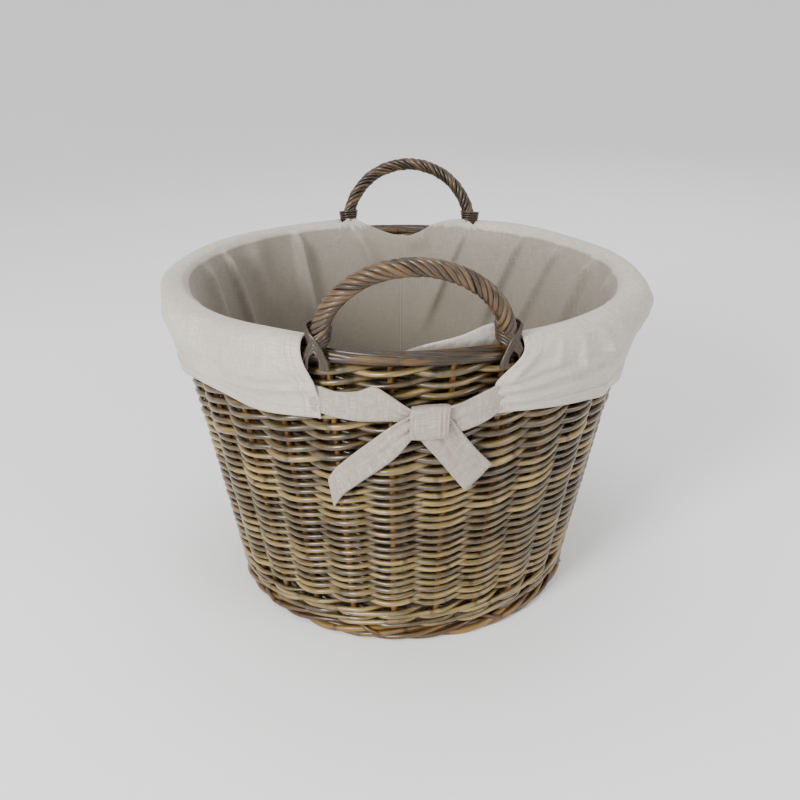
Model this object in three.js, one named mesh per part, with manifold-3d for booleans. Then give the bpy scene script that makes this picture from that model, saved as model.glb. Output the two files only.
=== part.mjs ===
// A round willow log basket with a turned-over fabric lining, two roped handles
// and a knotted tie under each handle. Millimetres, +Z up. The origin is on the
// floor under the middle of the basket, and the front, with its tie, faces -Y.
//
// Build order is the order in which such a basket is made: a cross of base sticks,
// the woven base, the stakes pushed into it, the woven wall, the border, the foot,
// the handles, and last the lining.

import * as THREE from 'three';
import { mergeVertices } from 'three/addons/utils/BufferGeometryUtils.js';
import Module from 'manifold-3d';

// ---------------------------------------------------------------- driving sizes

const GAP = 0.3;                  // clearance between pieces that touch
const ROUND_SEGMENTS = 56;        // facets round the basket, two for each stake
const ROD_SIDES = 6;
const ROPE_SIDES = 10;

// Base
const BASE_RADIUS = 181;          // edge of the woven base
const BASE_THICKNESS = 15;
const THICK_STICK_RADIUS = 4.5;   // the four slit sticks
const THIN_STICK_RADIUS = 3;      // the three sticks that pass through the slits
const THICK_STICK_SPACE = 1.5;    // left between neighbouring sticks in the crossing
const THIN_STICK_SPACE = 2;
const BASE_EYE_MARGIN = 5.75;     // crossing of the sticks to the start of the base's weave
const STICK_END_MARGIN = 8;       // a stick stops this far inside the base's edge

// Foot
const FOOT_HEIGHT = 15;
const FOOT_WIDTH = 17;
const FOOT_REACH = 17;            // how far the foot stands out past the woven base

// Stakes and wall
const STAKE_COUNT = 28;
const STAKE_RADIUS = 3;
const STAKE_PHASE = 10.25;        // degrees from the front to the first stake
const STAKE_SOCKET_DEPTH = 18;    // how far a stake is pushed into the base
const STAKE_BEND_RADIUS = 9;
const WALL_SLOPE = 0.17;          // outward growth for each millimetre of height
const RIM_HEIGHT = 348;           // top of the willow border
const UPSETT_TOP = 44;            // top of the waling that sets up the stakes
const FINE_WEAVE_TOP = 214;       // fine rods below this height, thicker rods above
const UPSETT_HALF = 9;            // half thickness of each woven band
const FINE_WEAVE_HALF = 8.1;
const THICK_WEAVE_HALF = 9.2;
const BORDER_ROD_RADIUS = 3.1;

// Handles
const HANDLE_LEG_RADIUS = 3.2;
const HANDLE_ROPE_RADIUS = 8;
const HANDLE_ARCH_HEIGHT = 78;    // border top to the middle of the rope
const HANDLE_LEAN = 30;           // how far the arch leans out over the border
const HANDLE_LEG_DEPTH = 86;      // how far a leg is pushed down into the wall
const HANDLE_LEFT_STAKE = -2;     // the stakes that the front legs are pushed in beside,
const HANDLE_RIGHT_STAKE = 1;     // counted round from the first stake
const BINDING_THICKNESS = 2.6;
const BINDING_HEIGHT = 9;

// Lining
const CLOTH = 2;
const LINING_SLACK = 0.7;         // between the cloth and the border and weave that it covers
const LINING_PUFF = 7;            // how far the fold over the border stands out
const HEM_DROP = 80;              // border top to the hem of the turned-over flap
const NOTCH_MARGIN = 1.6;         // flap edge to the binding on the handle's leg

// Ties
const TIE_WIDTH = 26;
const TIE_THICKNESS = 1.8;
const TIE_SLACK = 1;              // between the two ties, and round them in the knot
const TIE_DROP = 51;              // border top to the middle of a tie where it is sewn on
const KNOT_DROP = 60;
const KNOT_ANGLE = 5.1;           // degrees from the middle of that side
const KNOT_WIDTH = 33;
const KNOT_WALL = 2.2;
const TAIL_SPREAD = 78;           // knot to the end of a tail, along the wall
const LEFT_TAIL_DROP = 95;        // knot to the end of a tail, downwards
const RIGHT_TAIL_DROP = 72;

// ---------------------------------------------------------------- derived sizes

const THICK_STICK_PITCH = 2 * THICK_STICK_RADIUS + THICK_STICK_SPACE;
const THIN_STICK_PITCH = 2 * THIN_STICK_RADIUS + THIN_STICK_SPACE;
const CROSSING_HALF = 1.5 * THICK_STICK_PITCH + THICK_STICK_RADIUS;
const BASE_EYE_RADIUS = CROSSING_HALF + BASE_EYE_MARGIN;
const FRONT = -1;
const BACK = 1;
const WALL_LEAN = Math.atan(WALL_SLOPE);
const BASE_BOTTOM = FOOT_HEIGHT + GAP;
const BASE_TOP = BASE_BOTTOM + BASE_THICKNESS;
const BASE_MIDDLE = (BASE_BOTTOM + BASE_TOP) / 2;
const STAKE_BEND_START = BASE_RADIUS + 2;
const STAKE_BEND_TURN = Math.PI / 2 - WALL_LEAN;
const STAKE_BEND_TOP = BASE_MIDDLE + STAKE_BEND_RADIUS * (1 - Math.cos(STAKE_BEND_TURN));
const STAKE_TURNED_RADIUS = STAKE_BEND_START + STAKE_BEND_RADIUS * Math.sin(STAKE_BEND_TURN);
const BORDER_ROW = 2 * BORDER_ROD_RADIUS + GAP + 0.5;
const BORDER_LOW = RIM_HEIGHT - BORDER_ROD_RADIUS - BORDER_ROW;
const BORDER_HIGH = RIM_HEIGHT - BORDER_ROD_RADIUS;
const BORDER_SIDE = BORDER_ROD_RADIUS + HANDLE_LEG_RADIUS + 3 * GAP;
const WALL_TOP = BORDER_LOW - BORDER_ROD_RADIUS - GAP;
const ARCH_LEAN = Math.atan2(HANDLE_LEAN, HANDLE_ARCH_HEIGHT);
const ROPE_START = RIM_HEIGHT + (HANDLE_ROPE_RADIUS + 1) * Math.sin(ARCH_LEAN) + GAP;
const LINING_STANDOFF = Math.max(THICK_WEAVE_HALF, BORDER_SIDE + BORDER_ROD_RADIUS) + LINING_SLACK;

/** Radius of the circle through the stakes at height z. */
function wallRadius(z) {
  return STAKE_TURNED_RADIUS + WALL_SLOPE * (z - STAKE_BEND_TOP);
}

/** A point on the wall: degrees from the middle of the front or back, height, distance out. */
function wallPoint(side, degrees, z, offset = 0) {
  const angle = THREE.MathUtils.degToRad(degrees);
  const radius = wallRadius(z) + offset;
  return new THREE.Vector3(radius * Math.sin(angle), side * radius * Math.cos(angle), z);
}

/** Degrees from the front's middle to the leg beside a stake, clear of it down to the leg's tip. */
function legAngle(stake) {
  const apart = STAKE_RADIUS + HANDLE_LEG_RADIUS + 1.5 * GAP;
  const besideStake = THREE.MathUtils.radToDeg(apart / wallRadius(RIM_HEIGHT - HANDLE_LEG_DEPTH));
  return STAKE_PHASE + (360 * stake) / STAKE_COUNT - besideStake;
}

const HANDLE_LEFT_ANGLE = legAngle(HANDLE_LEFT_STAKE);
const HANDLE_RIGHT_ANGLE = legAngle(HANDLE_RIGHT_STAKE);

// ---------------------------------------------------------------- shape helpers

const wasm = await Module();
wasm.setup();

/** A path through chosen points, with one extrusion step from each point to the next. */
class PointPath extends THREE.Curve {
  constructor(points) {
    super();
    this.points = points;
  }

  getPoint(t, target = new THREE.Vector3()) {
    const place = t * (this.points.length - 1);
    const index = Math.min(Math.floor(place + 1e-9), this.points.length - 2);
    return target.lerpVectors(this.points[index], this.points[index + 1], place - index);
  }

  getPointAt(u, target) {
    return this.getPoint(u, target);
  }

  getTangentAt(u, target = new THREE.Vector3()) {
    const last = this.points.length - 1;
    const index = Math.round(u * last);
    const here = this.points[index];
    const before = this.points[Math.max(index - 1, 0)];
    const after = this.points[Math.min(index + 1, last)];
    const arriving = here.clone().sub(before).normalize();
    const leaving = after.clone().sub(here).normalize();
    return target.copy(arriving).add(leaving).normalize();
  }
}

/** Turns a geometry's faces outward if its enclosed volume comes out negative. */
function facingOut(geometry) {
  geometry.deleteAttribute('normal');
  geometry.deleteAttribute('uv');
  const merged = mergeVertices(geometry);
  const position = merged.getAttribute('position');
  const index = merged.getIndex();
  const corners = [new THREE.Vector3(), new THREE.Vector3(), new THREE.Vector3()];
  let volume = 0;
  for (let i = 0; i < index.count; i += 3) {
    corners.forEach((corner, k) => corner.fromBufferAttribute(position, index.getX(i + k)));
    volume += corners[0].dot(corners[1].clone().cross(corners[2])) / 6;
  }
  if (volume < 0) {
    for (let i = 0; i < index.count; i += 3) {
      const second = index.getX(i + 1);
      index.setX(i + 1, index.getX(i + 2));
      index.setX(i + 2, second);
    }
  }
  merged.computeVertexNormals();
  return merged;
}

/** A closed geometry as a manifold-3d solid. */
function toSolid(geometry) {
  const closed = facingOut(geometry);
  return new wasm.Manifold(new wasm.Mesh({
    numProp: 3,
    vertProperties: new Float32Array(closed.getAttribute('position').array),
    triVerts: new Uint32Array(closed.getIndex().array),
  }));
}

/** A manifold-3d solid as a geometry. */
function toGeometry(solid) {
  const mesh = solid.getMesh();
  const geometry = new THREE.BufferGeometry();
  geometry.setAttribute('position', new THREE.BufferAttribute(new Float32Array(mesh.vertProperties), 3));
  geometry.setIndex(new THREE.BufferAttribute(new Uint32Array(mesh.triVerts), 1));
  geometry.computeVertexNormals();
  return geometry;
}

/** Cuts every tool from a geometry. */
function cut(geometry, tools) {
  const result = tools.reduce((solid, tool) => solid.subtract(toSolid(tool)), toSolid(geometry));
  return toGeometry(result);
}

/** A regular polygon's corners round the origin, with a flat side facing down. */
function polygon(radius, sides) {
  const corners = [];
  for (let i = 0; i < sides; i += 1) {
    const angle = ((i + 0.5) / sides) * 2 * Math.PI - Math.PI / 2;
    corners.push(new THREE.Vector2(radius * Math.cos(angle), radius * Math.sin(angle)));
  }
  return corners;
}

/** A round rod along a list of points. */
function rod(points, radius, sides = ROD_SIDES) {
  const section = new THREE.Shape(polygon(radius, sides));
  return new THREE.ExtrudeGeometry(section, {
    steps: points.length - 1,
    extrudePath: new PointPath(points),
  });
}

/** A ring round the Z axis from a closed profile of [radius, height] pairs. */
function ring(profile) {
  const points = profile.map(([radius, z]) => new THREE.Vector2(radius, z));
  points.push(points[0].clone());
  return new THREE.LatheGeometry(points, ROUND_SEGMENTS).rotateX(Math.PI / 2);
}

/** A disc round the Z axis. */
function disc(radius, bottom, top) {
  const points = [[0, bottom], [radius, bottom], [radius, top], [0, top]];
  const profile = points.map(([r, z]) => new THREE.Vector2(r, z));
  return new THREE.LatheGeometry(profile, ROUND_SEGMENTS).rotateX(Math.PI / 2);
}

/** A flat ribbon bent on to the wall along a line of {degrees, z} points. */
function ribbon(side, line, offset) {
  const length = line.length - 1;
  const flat = new THREE.BoxGeometry(length, TIE_WIDTH, TIE_THICKNESS, length, 1, 1);
  flat.translate(length / 2, 0, TIE_THICKNESS / 2);
  const position = flat.getAttribute('position');
  for (let i = 0; i < position.count; i += 1) {
    const index = Math.round(position.getX(i));
    const here = line[index];
    const before = line[Math.max(index - 1, 0)];
    const after = line[Math.min(index + 1, length)];
    const along = THREE.MathUtils.degToRad(after.degrees - before.degrees) * wallRadius(here.z);
    const rise = after.z - before.z;
    const reach = Math.hypot(along, rise);
    const across = position.getY(i);
    const turn = THREE.MathUtils.radToDeg((-across * rise) / reach / wallRadius(here.z));
    const z = here.z + (across * along) / reach;
    const place = wallPoint(side, here.degrees + turn, z, offset + position.getZ(i));
    position.setXYZ(i, place.x, place.y, place.z);
  }
  return flat;
}

// ---------------------------------------------------------------- base

/** Points along a base stick, straight through the crossing and fanned out to both ends. */
function stickPoints(fanDegrees, offset, turnDegrees, extra = 0) {
  const fan = THREE.MathUtils.degToRad(fanDegrees);
  const reach = BASE_RADIUS - STICK_END_MARGIN + extra;
  const bend = CROSSING_HALF + THICK_STICK_SPACE;
  const half = [
    new THREE.Vector3(bend, offset, BASE_MIDDLE),
    new THREE.Vector3(reach * Math.cos(fan), reach * Math.sin(fan), BASE_MIDDLE),
  ];
  const mirrored = half.map((point) => new THREE.Vector3(-point.x, point.y, point.z)).reverse();
  const turn = THREE.MathUtils.degToRad(turnDegrees);
  return [...mirrored, ...half].map((p) => p.applyAxisAngle(new THREE.Vector3(0, 0, 1), turn));
}

const SPOKE_STEP = 720 / STAKE_COUNT;
const CROSS_TURN = STAKE_PHASE + SPOKE_STEP / 4 - 90 - SPOKE_STEP / 2;

/** The base sticks: four slit thick ones, and three thin ones that pass through the slits. */
function baseSticks() {
  const sticks = [];
  const slitLength = 2 * THIN_STICK_PITCH + 2 * THIN_STICK_RADIUS + 2 * GAP;
  for (let i = 0; i < 4; i += 1) {
    const place = i - 1.5;
    const points = stickPoints(place * SPOKE_STEP, place * THICK_STICK_PITCH, CROSS_TURN);
    const slit = new THREE.BoxGeometry(slitLength, 3 * CROSSING_HALF, 2 * (THIN_STICK_RADIUS + GAP));
    slit.rotateZ(THREE.MathUtils.degToRad(CROSS_TURN)).translate(0, 0, BASE_MIDDLE);
    sticks.push({
      name: `base_stick_slit_${i + 1}`,
      geometry: cut(rod(points, THICK_STICK_RADIUS), [slit]),
      points: stickPoints(place * SPOKE_STEP, place * THICK_STICK_PITCH, CROSS_TURN, GAP),
      radius: THICK_STICK_RADIUS,
    });
  }
  for (let i = 0; i < 3; i += 1) {
    const place = 1 - i;
    const turn = CROSS_TURN + 90;
    sticks.push({
      name: `base_stick_through_${i + 1}`,
      geometry: rod(stickPoints(place * SPOKE_STEP, place * THIN_STICK_PITCH, turn), THIN_STICK_RADIUS),
      points: stickPoints(place * SPOKE_STEP, place * THIN_STICK_PITCH, turn, GAP),
      radius: THIN_STICK_RADIUS,
    });
  }
  return sticks;
}

// ---------------------------------------------------------------- stakes and wall

/** Points along one stake: out of the base, round the bend and up the wall. */
function stakePoints(degrees, extra = 0) {
  const outline = [[BASE_RADIUS - STAKE_SOCKET_DEPTH - extra, BASE_MIDDLE], [STAKE_BEND_START, BASE_MIDDLE]];
  const bendSteps = 3;
  for (let i = 1; i <= bendSteps; i += 1) {
    const turn = (STAKE_BEND_TURN * i) / bendSteps;
    const radius = STAKE_BEND_START + STAKE_BEND_RADIUS * Math.sin(turn);
    outline.push([radius, BASE_MIDDLE + STAKE_BEND_RADIUS * (1 - Math.cos(turn))]);
  }
  const top = WALL_TOP - GAP + extra;
  outline.push([wallRadius(top), top]);
  const angle = THREE.MathUtils.degToRad(degrees);
  return outline.map(([r, z]) => new THREE.Vector3(r * Math.sin(angle), -r * Math.cos(angle), z));
}

/** The angle of every stake, in degrees round from the front. */
function stakeAngles() {
  const angles = [];
  for (let i = 0; i < STAKE_COUNT; i += 1) angles.push(STAKE_PHASE + (360 * i) / STAKE_COUNT);
  return angles;
}

/** The closed profile of a woven band of the wall. */
function bandProfile(bottom, top, half) {
  return [
    [wallRadius(bottom) - half, bottom],
    [wallRadius(bottom) + half, bottom],
    [wallRadius(top) + half, top],
    [wallRadius(top) - half, top],
  ];
}

/** The closed profile of the waling, which also wraps the edge of the base. */
function upsettProfile() {
  const edge = BASE_RADIUS + GAP;
  const shelf = BASE_TOP + GAP;
  return [
    [edge, BASE_BOTTOM],
    [wallRadius(BASE_BOTTOM) + UPSETT_HALF, BASE_BOTTOM],
    [wallRadius(UPSETT_TOP) + UPSETT_HALF, UPSETT_TOP],
    [wallRadius(UPSETT_TOP) - UPSETT_HALF, UPSETT_TOP],
    [wallRadius(shelf) - UPSETT_HALF, shelf],
    [edge, shelf],
  ];
}

/** The closed profile of the foot, with a worn flat underneath. */
function footProfile() {
  const sides = 8;
  const stretch = 1 / Math.cos(Math.PI / sides);
  const middle = BASE_RADIUS + FOOT_REACH - FOOT_WIDTH / 2;
  return polygon(stretch / 2, sides).map((corner) => [
    middle + corner.x * FOOT_WIDTH,
    FOOT_HEIGHT / 2 + corner.y * FOOT_HEIGHT,
  ]);
}

/** One rod of the border, a hoop that lies along the rim. */
function borderRod(height, offset) {
  return new THREE.TorusGeometry(wallRadius(height) + offset, BORDER_ROD_RADIUS, ROD_SIDES, ROUND_SEGMENTS)
    .translate(0, 0, height);
}

// ---------------------------------------------------------------- handles

/** Points down a handle's leg, from inside the rope to its tip in the wall. */
function legPoints(side, degrees, extra = 0) {
  const tip = RIM_HEIGHT - HANDLE_LEG_DEPTH - extra;
  return [wallPoint(side, degrees, ROPE_START + HANDLE_LEG_RADIUS), wallPoint(side, degrees, tip)];
}

/** Points along the handle's arch from its left foot to its right foot. */
function archPoint(side, share) {
  const left = wallPoint(side, HANDLE_LEFT_ANGLE, ROPE_START);
  const right = wallPoint(side, HANDLE_RIGHT_ANGLE, ROPE_START);
  const turn = Math.PI * share;
  const across = (1 - Math.cos(turn)) / 2;
  const rise = Math.sin(turn);
  const point = left.lerp(right, across);
  point.y += side * HANDLE_LEAN * rise;
  point.z += (RIM_HEIGHT + HANDLE_ARCH_HEIGHT - ROPE_START) * rise;
  return point;
}

/** A list of points along part of the arch. */
function archPoints(side, from, to, steps) {
  const points = [];
  for (let i = 0; i <= steps; i += 1) points.push(archPoint(side, from + ((to - from) * i) / steps));
  return points;
}

/** A roped handle: the arch, and a leg at each foot. */
function handle(side) {
  const arch = toSolid(rod(archPoints(side, 0, 1, 24), HANDLE_ROPE_RADIUS, ROPE_SIDES));
  const legs = [HANDLE_LEFT_ANGLE, HANDLE_RIGHT_ANGLE].map((degrees) => (
    toSolid(rod(legPoints(side, degrees), HANDLE_LEG_RADIUS))
  ));
  return toGeometry(legs.reduce((whole, leg) => whole.add(leg), arch));
}

/** The binding round a handle's foot. */
function binding(side, atRight) {
  const archLength = Math.PI * HANDLE_ARCH_HEIGHT;
  const from = 2 / archLength;
  const to = from + BINDING_HEIGHT / archLength;
  const points = atRight ? archPoints(side, 1 - from, 1 - to, 2) : archPoints(side, from, to, 2);
  const inner = HANDLE_ROPE_RADIUS + 2 * GAP;
  const section = new THREE.Shape(polygon(inner + BINDING_THICKNESS, ROPE_SIDES));
  section.holes.push(new THREE.Path(polygon(inner, ROPE_SIDES).reverse()));
  return new THREE.ExtrudeGeometry(section, { steps: 2, extrudePath: new PointPath(points) });
}

// ---------------------------------------------------------------- lining

const LINING_FLOOR = BASE_TOP + GAP;
const LINING_INNER = LINING_STANDOFF + CLOTH;
const FOLD_LOW = RIM_HEIGHT + 1.2;

/** The closed profile of the side panel: up the inside, over the border, down the outside. */
function liningProfile() {
  const foot = LINING_FLOOR + CLOTH + GAP;
  const hem = RIM_HEIGHT - HEM_DROP;
  const shoulder = RIM_HEIGHT - 12;
  return [
    [wallRadius(foot) - LINING_INNER, foot],
    [wallRadius(foot) - LINING_STANDOFF, foot],
    [wallRadius(RIM_HEIGHT) - LINING_STANDOFF, RIM_HEIGHT - 1],
    [wallRadius(RIM_HEIGHT) - LINING_STANDOFF + CLOTH, FOLD_LOW],
    [wallRadius(RIM_HEIGHT) + LINING_STANDOFF - CLOTH, FOLD_LOW],
    [wallRadius(RIM_HEIGHT) + LINING_STANDOFF, RIM_HEIGHT - CLOTH],
    [wallRadius(hem) + LINING_STANDOFF, hem],
    [wallRadius(hem) + LINING_INNER, hem],
    [wallRadius(shoulder) + LINING_INNER + LINING_PUFF, shoulder],
    [wallRadius(RIM_HEIGHT) + LINING_INNER + LINING_PUFF - 3, RIM_HEIGHT],
    [wallRadius(RIM_HEIGHT) + LINING_STANDOFF - 2, FOLD_LOW + 2 * CLOTH],
    [wallRadius(RIM_HEIGHT) - LINING_STANDOFF + 1, FOLD_LOW + 1.5 * CLOTH],
    [wallRadius(RIM_HEIGHT) - LINING_INNER, RIM_HEIGHT],
  ];
}

/** The flap's edges beside a handle, in millimetres across. */
function notchEdges() {
  const margin = HANDLE_ROPE_RADIUS + 2 * GAP + BINDING_THICKNESS + NOTCH_MARGIN;
  return {
    left: wallPoint(FRONT, HANDLE_LEFT_ANGLE, ROPE_START).x - margin,
    right: wallPoint(FRONT, HANDLE_RIGHT_ANGLE, ROPE_START).x + margin,
  };
}

/** The side panel, notched at both handles so that the border shows between the legs. */
function liningSide() {
  const { left, right } = notchEdges();
  const notchFloor = BORDER_LOW - 2 * BORDER_ROD_RADIUS;
  const height = RIM_HEIGHT;
  const length = 3 * wallRadius(RIM_HEIGHT);
  const slab = new THREE.BoxGeometry(right - left, length, height);
  slab.translate((left + right) / 2, 0, height / 2 + RIM_HEIGHT - HEM_DROP - TIE_WIDTH);
  const kept = new THREE.LatheGeometry([
    new THREE.Vector2(0, 0),
    new THREE.Vector2(wallRadius(0), 0),
    new THREE.Vector2(wallRadius(notchFloor), notchFloor),
    new THREE.Vector2(0, notchFloor),
  ], ROUND_SEGMENTS).rotateX(Math.PI / 2);
  return cut(ring(liningProfile()), [cut(slab, [kept])]);
}

// ---------------------------------------------------------------- ties

const KNOT_BOW = KNOT_WIDTH ** 2 / 8 / wallRadius(RIM_HEIGHT - KNOT_DROP);
const TIE_OFFSET = THICK_WEAVE_HALF + KNOT_WALL + 1.5 * TIE_SLACK + KNOT_BOW;
const TIE_LAYER = TIE_THICKNESS + TIE_SLACK;
const TIE_CLEARANCE = 1.5;        // from the flap's edge to the end of a tie

/** The line of a tie: from the flap's edge, level through the knot, then down its tail. */
function tieLine(fromLeft) {
  const circle = wallRadius(RIM_HEIGHT - TIE_DROP);
  const toDegrees = (length) => THREE.MathUtils.radToDeg(length / circle);
  const { left, right } = notchEdges();
  const edge = fromLeft ? left + TIE_CLEARANCE : right - TIE_CLEARANCE;
  const start = THREE.MathUtils.radToDeg(Math.asin(edge / (circle + TIE_OFFSET + TIE_WIDTH * WALL_SLOPE)));
  const way = fromLeft ? 1 : -1;
  const half = toDegrees(KNOT_WIDTH / 2 + TIE_WIDTH / 3);
  const sewn = RIM_HEIGHT - TIE_DROP;
  const knot = RIM_HEIGHT - KNOT_DROP;
  const enter = KNOT_ANGLE - way * half;
  const leave = KNOT_ANGLE + way * half;
  const end = KNOT_ANGLE + way * toDegrees(TAIL_SPREAD);
  const drop = fromLeft ? RIGHT_TAIL_DROP : LEFT_TAIL_DROP;
  const line = [];
  const strapSteps = 4;
  for (let i = 0; i < strapSteps; i += 1) {
    const share = i / strapSteps;
    line.push({ degrees: start + (enter - start) * share, z: sewn + (knot - sewn) * share });
  }
  [enter, KNOT_ANGLE, leave].forEach((degrees) => line.push({ degrees, z: knot }));
  const tailSteps = 5;
  for (let i = 1; i <= tailSteps; i += 1) {
    const share = i / tailSteps;
    line.push({ degrees: leave + (end - leave) * share, z: knot - drop * share });
  }
  return line;
}

/** The knot: a band of cloth with a mouth that both ties pass through. */
function knot(side) {
  const mouth = 2 * TIE_THICKNESS + 3 * TIE_SLACK + KNOT_BOW;
  const height = TIE_WIDTH + 2 * TIE_SLACK;
  const frame = (wall, ways) => ways.map(([x, y]) => (
    new THREE.Vector2(x * (mouth / 2 + wall), y * (height / 2 + wall))
  ));
  const section = new THREE.Shape(frame(KNOT_WALL, [[-1, -1], [1, -1], [1, 1], [-1, 1]]));
  section.holes.push(new THREE.Path(frame(0, [[-1, -1], [-1, 1], [1, 1], [1, -1]])));
  const band = new THREE.ExtrudeGeometry(section, { depth: KNOT_WIDTH, bevelEnabled: false });
  band.translate(0, 0, -KNOT_WIDTH / 2);
  const middle = TIE_OFFSET + TIE_THICKNESS + (TIE_SLACK - KNOT_BOW) / 2;
  const place = wallPoint(side, KNOT_ANGLE, RIM_HEIGHT - KNOT_DROP, middle);
  const out = new THREE.Vector3(place.x, place.y, 0).normalize();
  const lean = out.clone().multiplyScalar(Math.cos(WALL_LEAN)).setZ(-Math.sin(WALL_LEAN));
  const up = out.clone().multiplyScalar(Math.sin(WALL_LEAN)).setZ(Math.cos(WALL_LEAN));
  const across = new THREE.Vector3().crossVectors(lean, up);
  return band.applyMatrix4(new THREE.Matrix4().makeBasis(lean, up, across).setPosition(place));
}

// ---------------------------------------------------------------- materials

/** A material with a colour and a roughness, and no metal. */
function finish(color, roughness) {
  return new THREE.MeshStandardMaterial({ color, roughness, metalness: 0 });
}

const FINISHES = {
  stake: () => finish(0x7a5230, 0.55),
  weave: () => finish(0x6f604b, 0.6),
  border: () => finish(0x6e4a28, 0.45),
  handle: () => finish(0x5f4a34, 0.5),
  cloth: () => finish(0xc9c3b8, 0.95),
};

// ---------------------------------------------------------------- assembly

const group = new THREE.Group();

/** Adds one named piece to the basket. */
function add(name, geometry, material) {
  const mesh = new THREE.Mesh(facingOut(geometry), FINISHES[material]());
  mesh.name = name;
  group.add(mesh);
}

const sticks = baseSticks();
sticks.forEach((stick) => add(stick.name, stick.geometry, 'stake'));

const stickBores = sticks.map((stick) => rod(stick.points, stick.radius + GAP));
const stakeBores = stakeAngles().map((angle) => rod(stakePoints(angle, GAP), STAKE_RADIUS + GAP));

const baseRing = [[BASE_EYE_RADIUS, BASE_BOTTOM], [BASE_RADIUS, BASE_BOTTOM],
  [BASE_RADIUS, BASE_TOP], [BASE_EYE_RADIUS, BASE_TOP]];
add('base_weave', cut(ring(baseRing), [...stickBores, ...stakeBores]), 'weave');
add('foot_border', ring(footProfile()), 'border');

stakeAngles().forEach((angle, index) => {
  const number = String(index + 1).padStart(2, '0');
  add(`stake_${number}`, rod(stakePoints(angle), STAKE_RADIUS), 'stake');
});

const legBores = [FRONT, BACK].flatMap((side) => [HANDLE_LEFT_ANGLE, HANDLE_RIGHT_ANGLE]
  .map((degrees) => rod(legPoints(side, degrees, GAP), HANDLE_LEG_RADIUS + GAP)));

add('upsett_waling', cut(ring(upsettProfile()), stakeBores), 'weave');
const fineBand = ring(bandProfile(UPSETT_TOP + GAP, FINE_WEAVE_TOP, FINE_WEAVE_HALF));
add('wall_weave_fine', cut(fineBand, [...stakeBores, ...legBores]), 'weave');
const thickBand = ring(bandProfile(FINE_WEAVE_TOP + GAP, WALL_TOP, THICK_WEAVE_HALF));
add('wall_weave_thick', cut(thickBand, [...stakeBores, ...legBores]), 'weave');

add('border_rod_outer_low', borderRod(BORDER_LOW, BORDER_SIDE), 'border');
add('border_rod_outer_high', borderRod(BORDER_HIGH, BORDER_SIDE), 'border');
add('border_rod_inner_low', borderRod(BORDER_LOW, -BORDER_SIDE), 'border');
add('border_rod_inner_high', borderRod(BORDER_HIGH, -BORDER_SIDE), 'border');

const liningFloorRadius = wallRadius(LINING_FLOOR) - LINING_INNER;
add('lining_base', disc(liningFloorRadius, LINING_FLOOR, LINING_FLOOR + CLOTH), 'cloth');
add('lining_side', liningSide(), 'cloth');

[['front', FRONT], ['back', BACK]].forEach(([word, side]) => {
  add(`${word}_handle`, handle(side), 'handle');
  add(`${word}_handle_binding_left`, binding(side, false), 'handle');
  add(`${word}_handle_binding_right`, binding(side, true), 'handle');
  add(`${word}_tie_left`, ribbon(side, tieLine(true), TIE_OFFSET), 'cloth');
  add(`${word}_tie_right`, ribbon(side, tieLine(false), TIE_OFFSET + TIE_LAYER), 'cloth');
  add(`${word}_tie_knot`, knot(side), 'cloth');
});

export default group;
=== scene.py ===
"""A round willow log basket: woven wall, roped handles, and a cotton lining that is tied on.

All sizes are in metres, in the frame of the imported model: +Z up, the floor at zero, and the
front, with its tie, facing -Y. The willow is made by Geometry Nodes that follow the weaving,
and the cotton by sheets that are cut, folded and gathered in mesh code.
"""

import logging
import math
from dataclasses import dataclass, field
from enum import Enum
from functools import lru_cache

import bmesh
import bpy
import numpy as np
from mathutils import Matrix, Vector


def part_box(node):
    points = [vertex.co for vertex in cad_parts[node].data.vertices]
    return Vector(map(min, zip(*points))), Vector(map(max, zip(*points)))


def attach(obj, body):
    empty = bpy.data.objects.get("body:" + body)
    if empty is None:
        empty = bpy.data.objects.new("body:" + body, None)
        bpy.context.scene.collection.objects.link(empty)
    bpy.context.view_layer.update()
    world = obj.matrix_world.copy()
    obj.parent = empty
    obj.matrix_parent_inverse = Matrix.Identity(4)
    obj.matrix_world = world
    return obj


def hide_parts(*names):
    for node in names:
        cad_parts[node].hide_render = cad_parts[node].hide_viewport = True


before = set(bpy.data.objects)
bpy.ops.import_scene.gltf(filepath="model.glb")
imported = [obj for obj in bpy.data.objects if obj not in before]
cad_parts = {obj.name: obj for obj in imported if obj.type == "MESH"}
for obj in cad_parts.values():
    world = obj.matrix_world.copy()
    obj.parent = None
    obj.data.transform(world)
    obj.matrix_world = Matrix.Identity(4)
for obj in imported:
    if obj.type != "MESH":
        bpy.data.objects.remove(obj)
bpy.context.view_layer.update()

MM = 0.001
FULL_TURN = 2 * math.pi
LOG = logging.getLogger("log_basket")

Number = float | int


@lru_cache(maxsize=None)
def node_box(node: str) -> tuple[Vector, Vector]:
    """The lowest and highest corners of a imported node, measured once."""
    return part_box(node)


# ---------------------------------------------------------------- named choices


class Slot(Enum):
    """The record's material slots."""

    STAKE = "stake_willow"
    WEAVE = "weave_willow"
    BORDER = "border_willow"
    HANDLE = "handle_willow"
    CLOTH = "lining_cloth"


class Side(Enum):
    """The two sides that carry a handle and a tie, as the sign of their Y."""

    FRONT = -1
    BACK = 1

    @property
    def word(self) -> str:
        """The side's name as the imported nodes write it."""
        return self.name.lower()


class NormalMode(Enum):
    """How a path's cross direction is carried along it."""

    LEVEL = "Z_UP"
    LEAST_TWIST = "MINIMUM_TWIST"


# ---------------------------------------------------------------- node tree helpers


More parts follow.
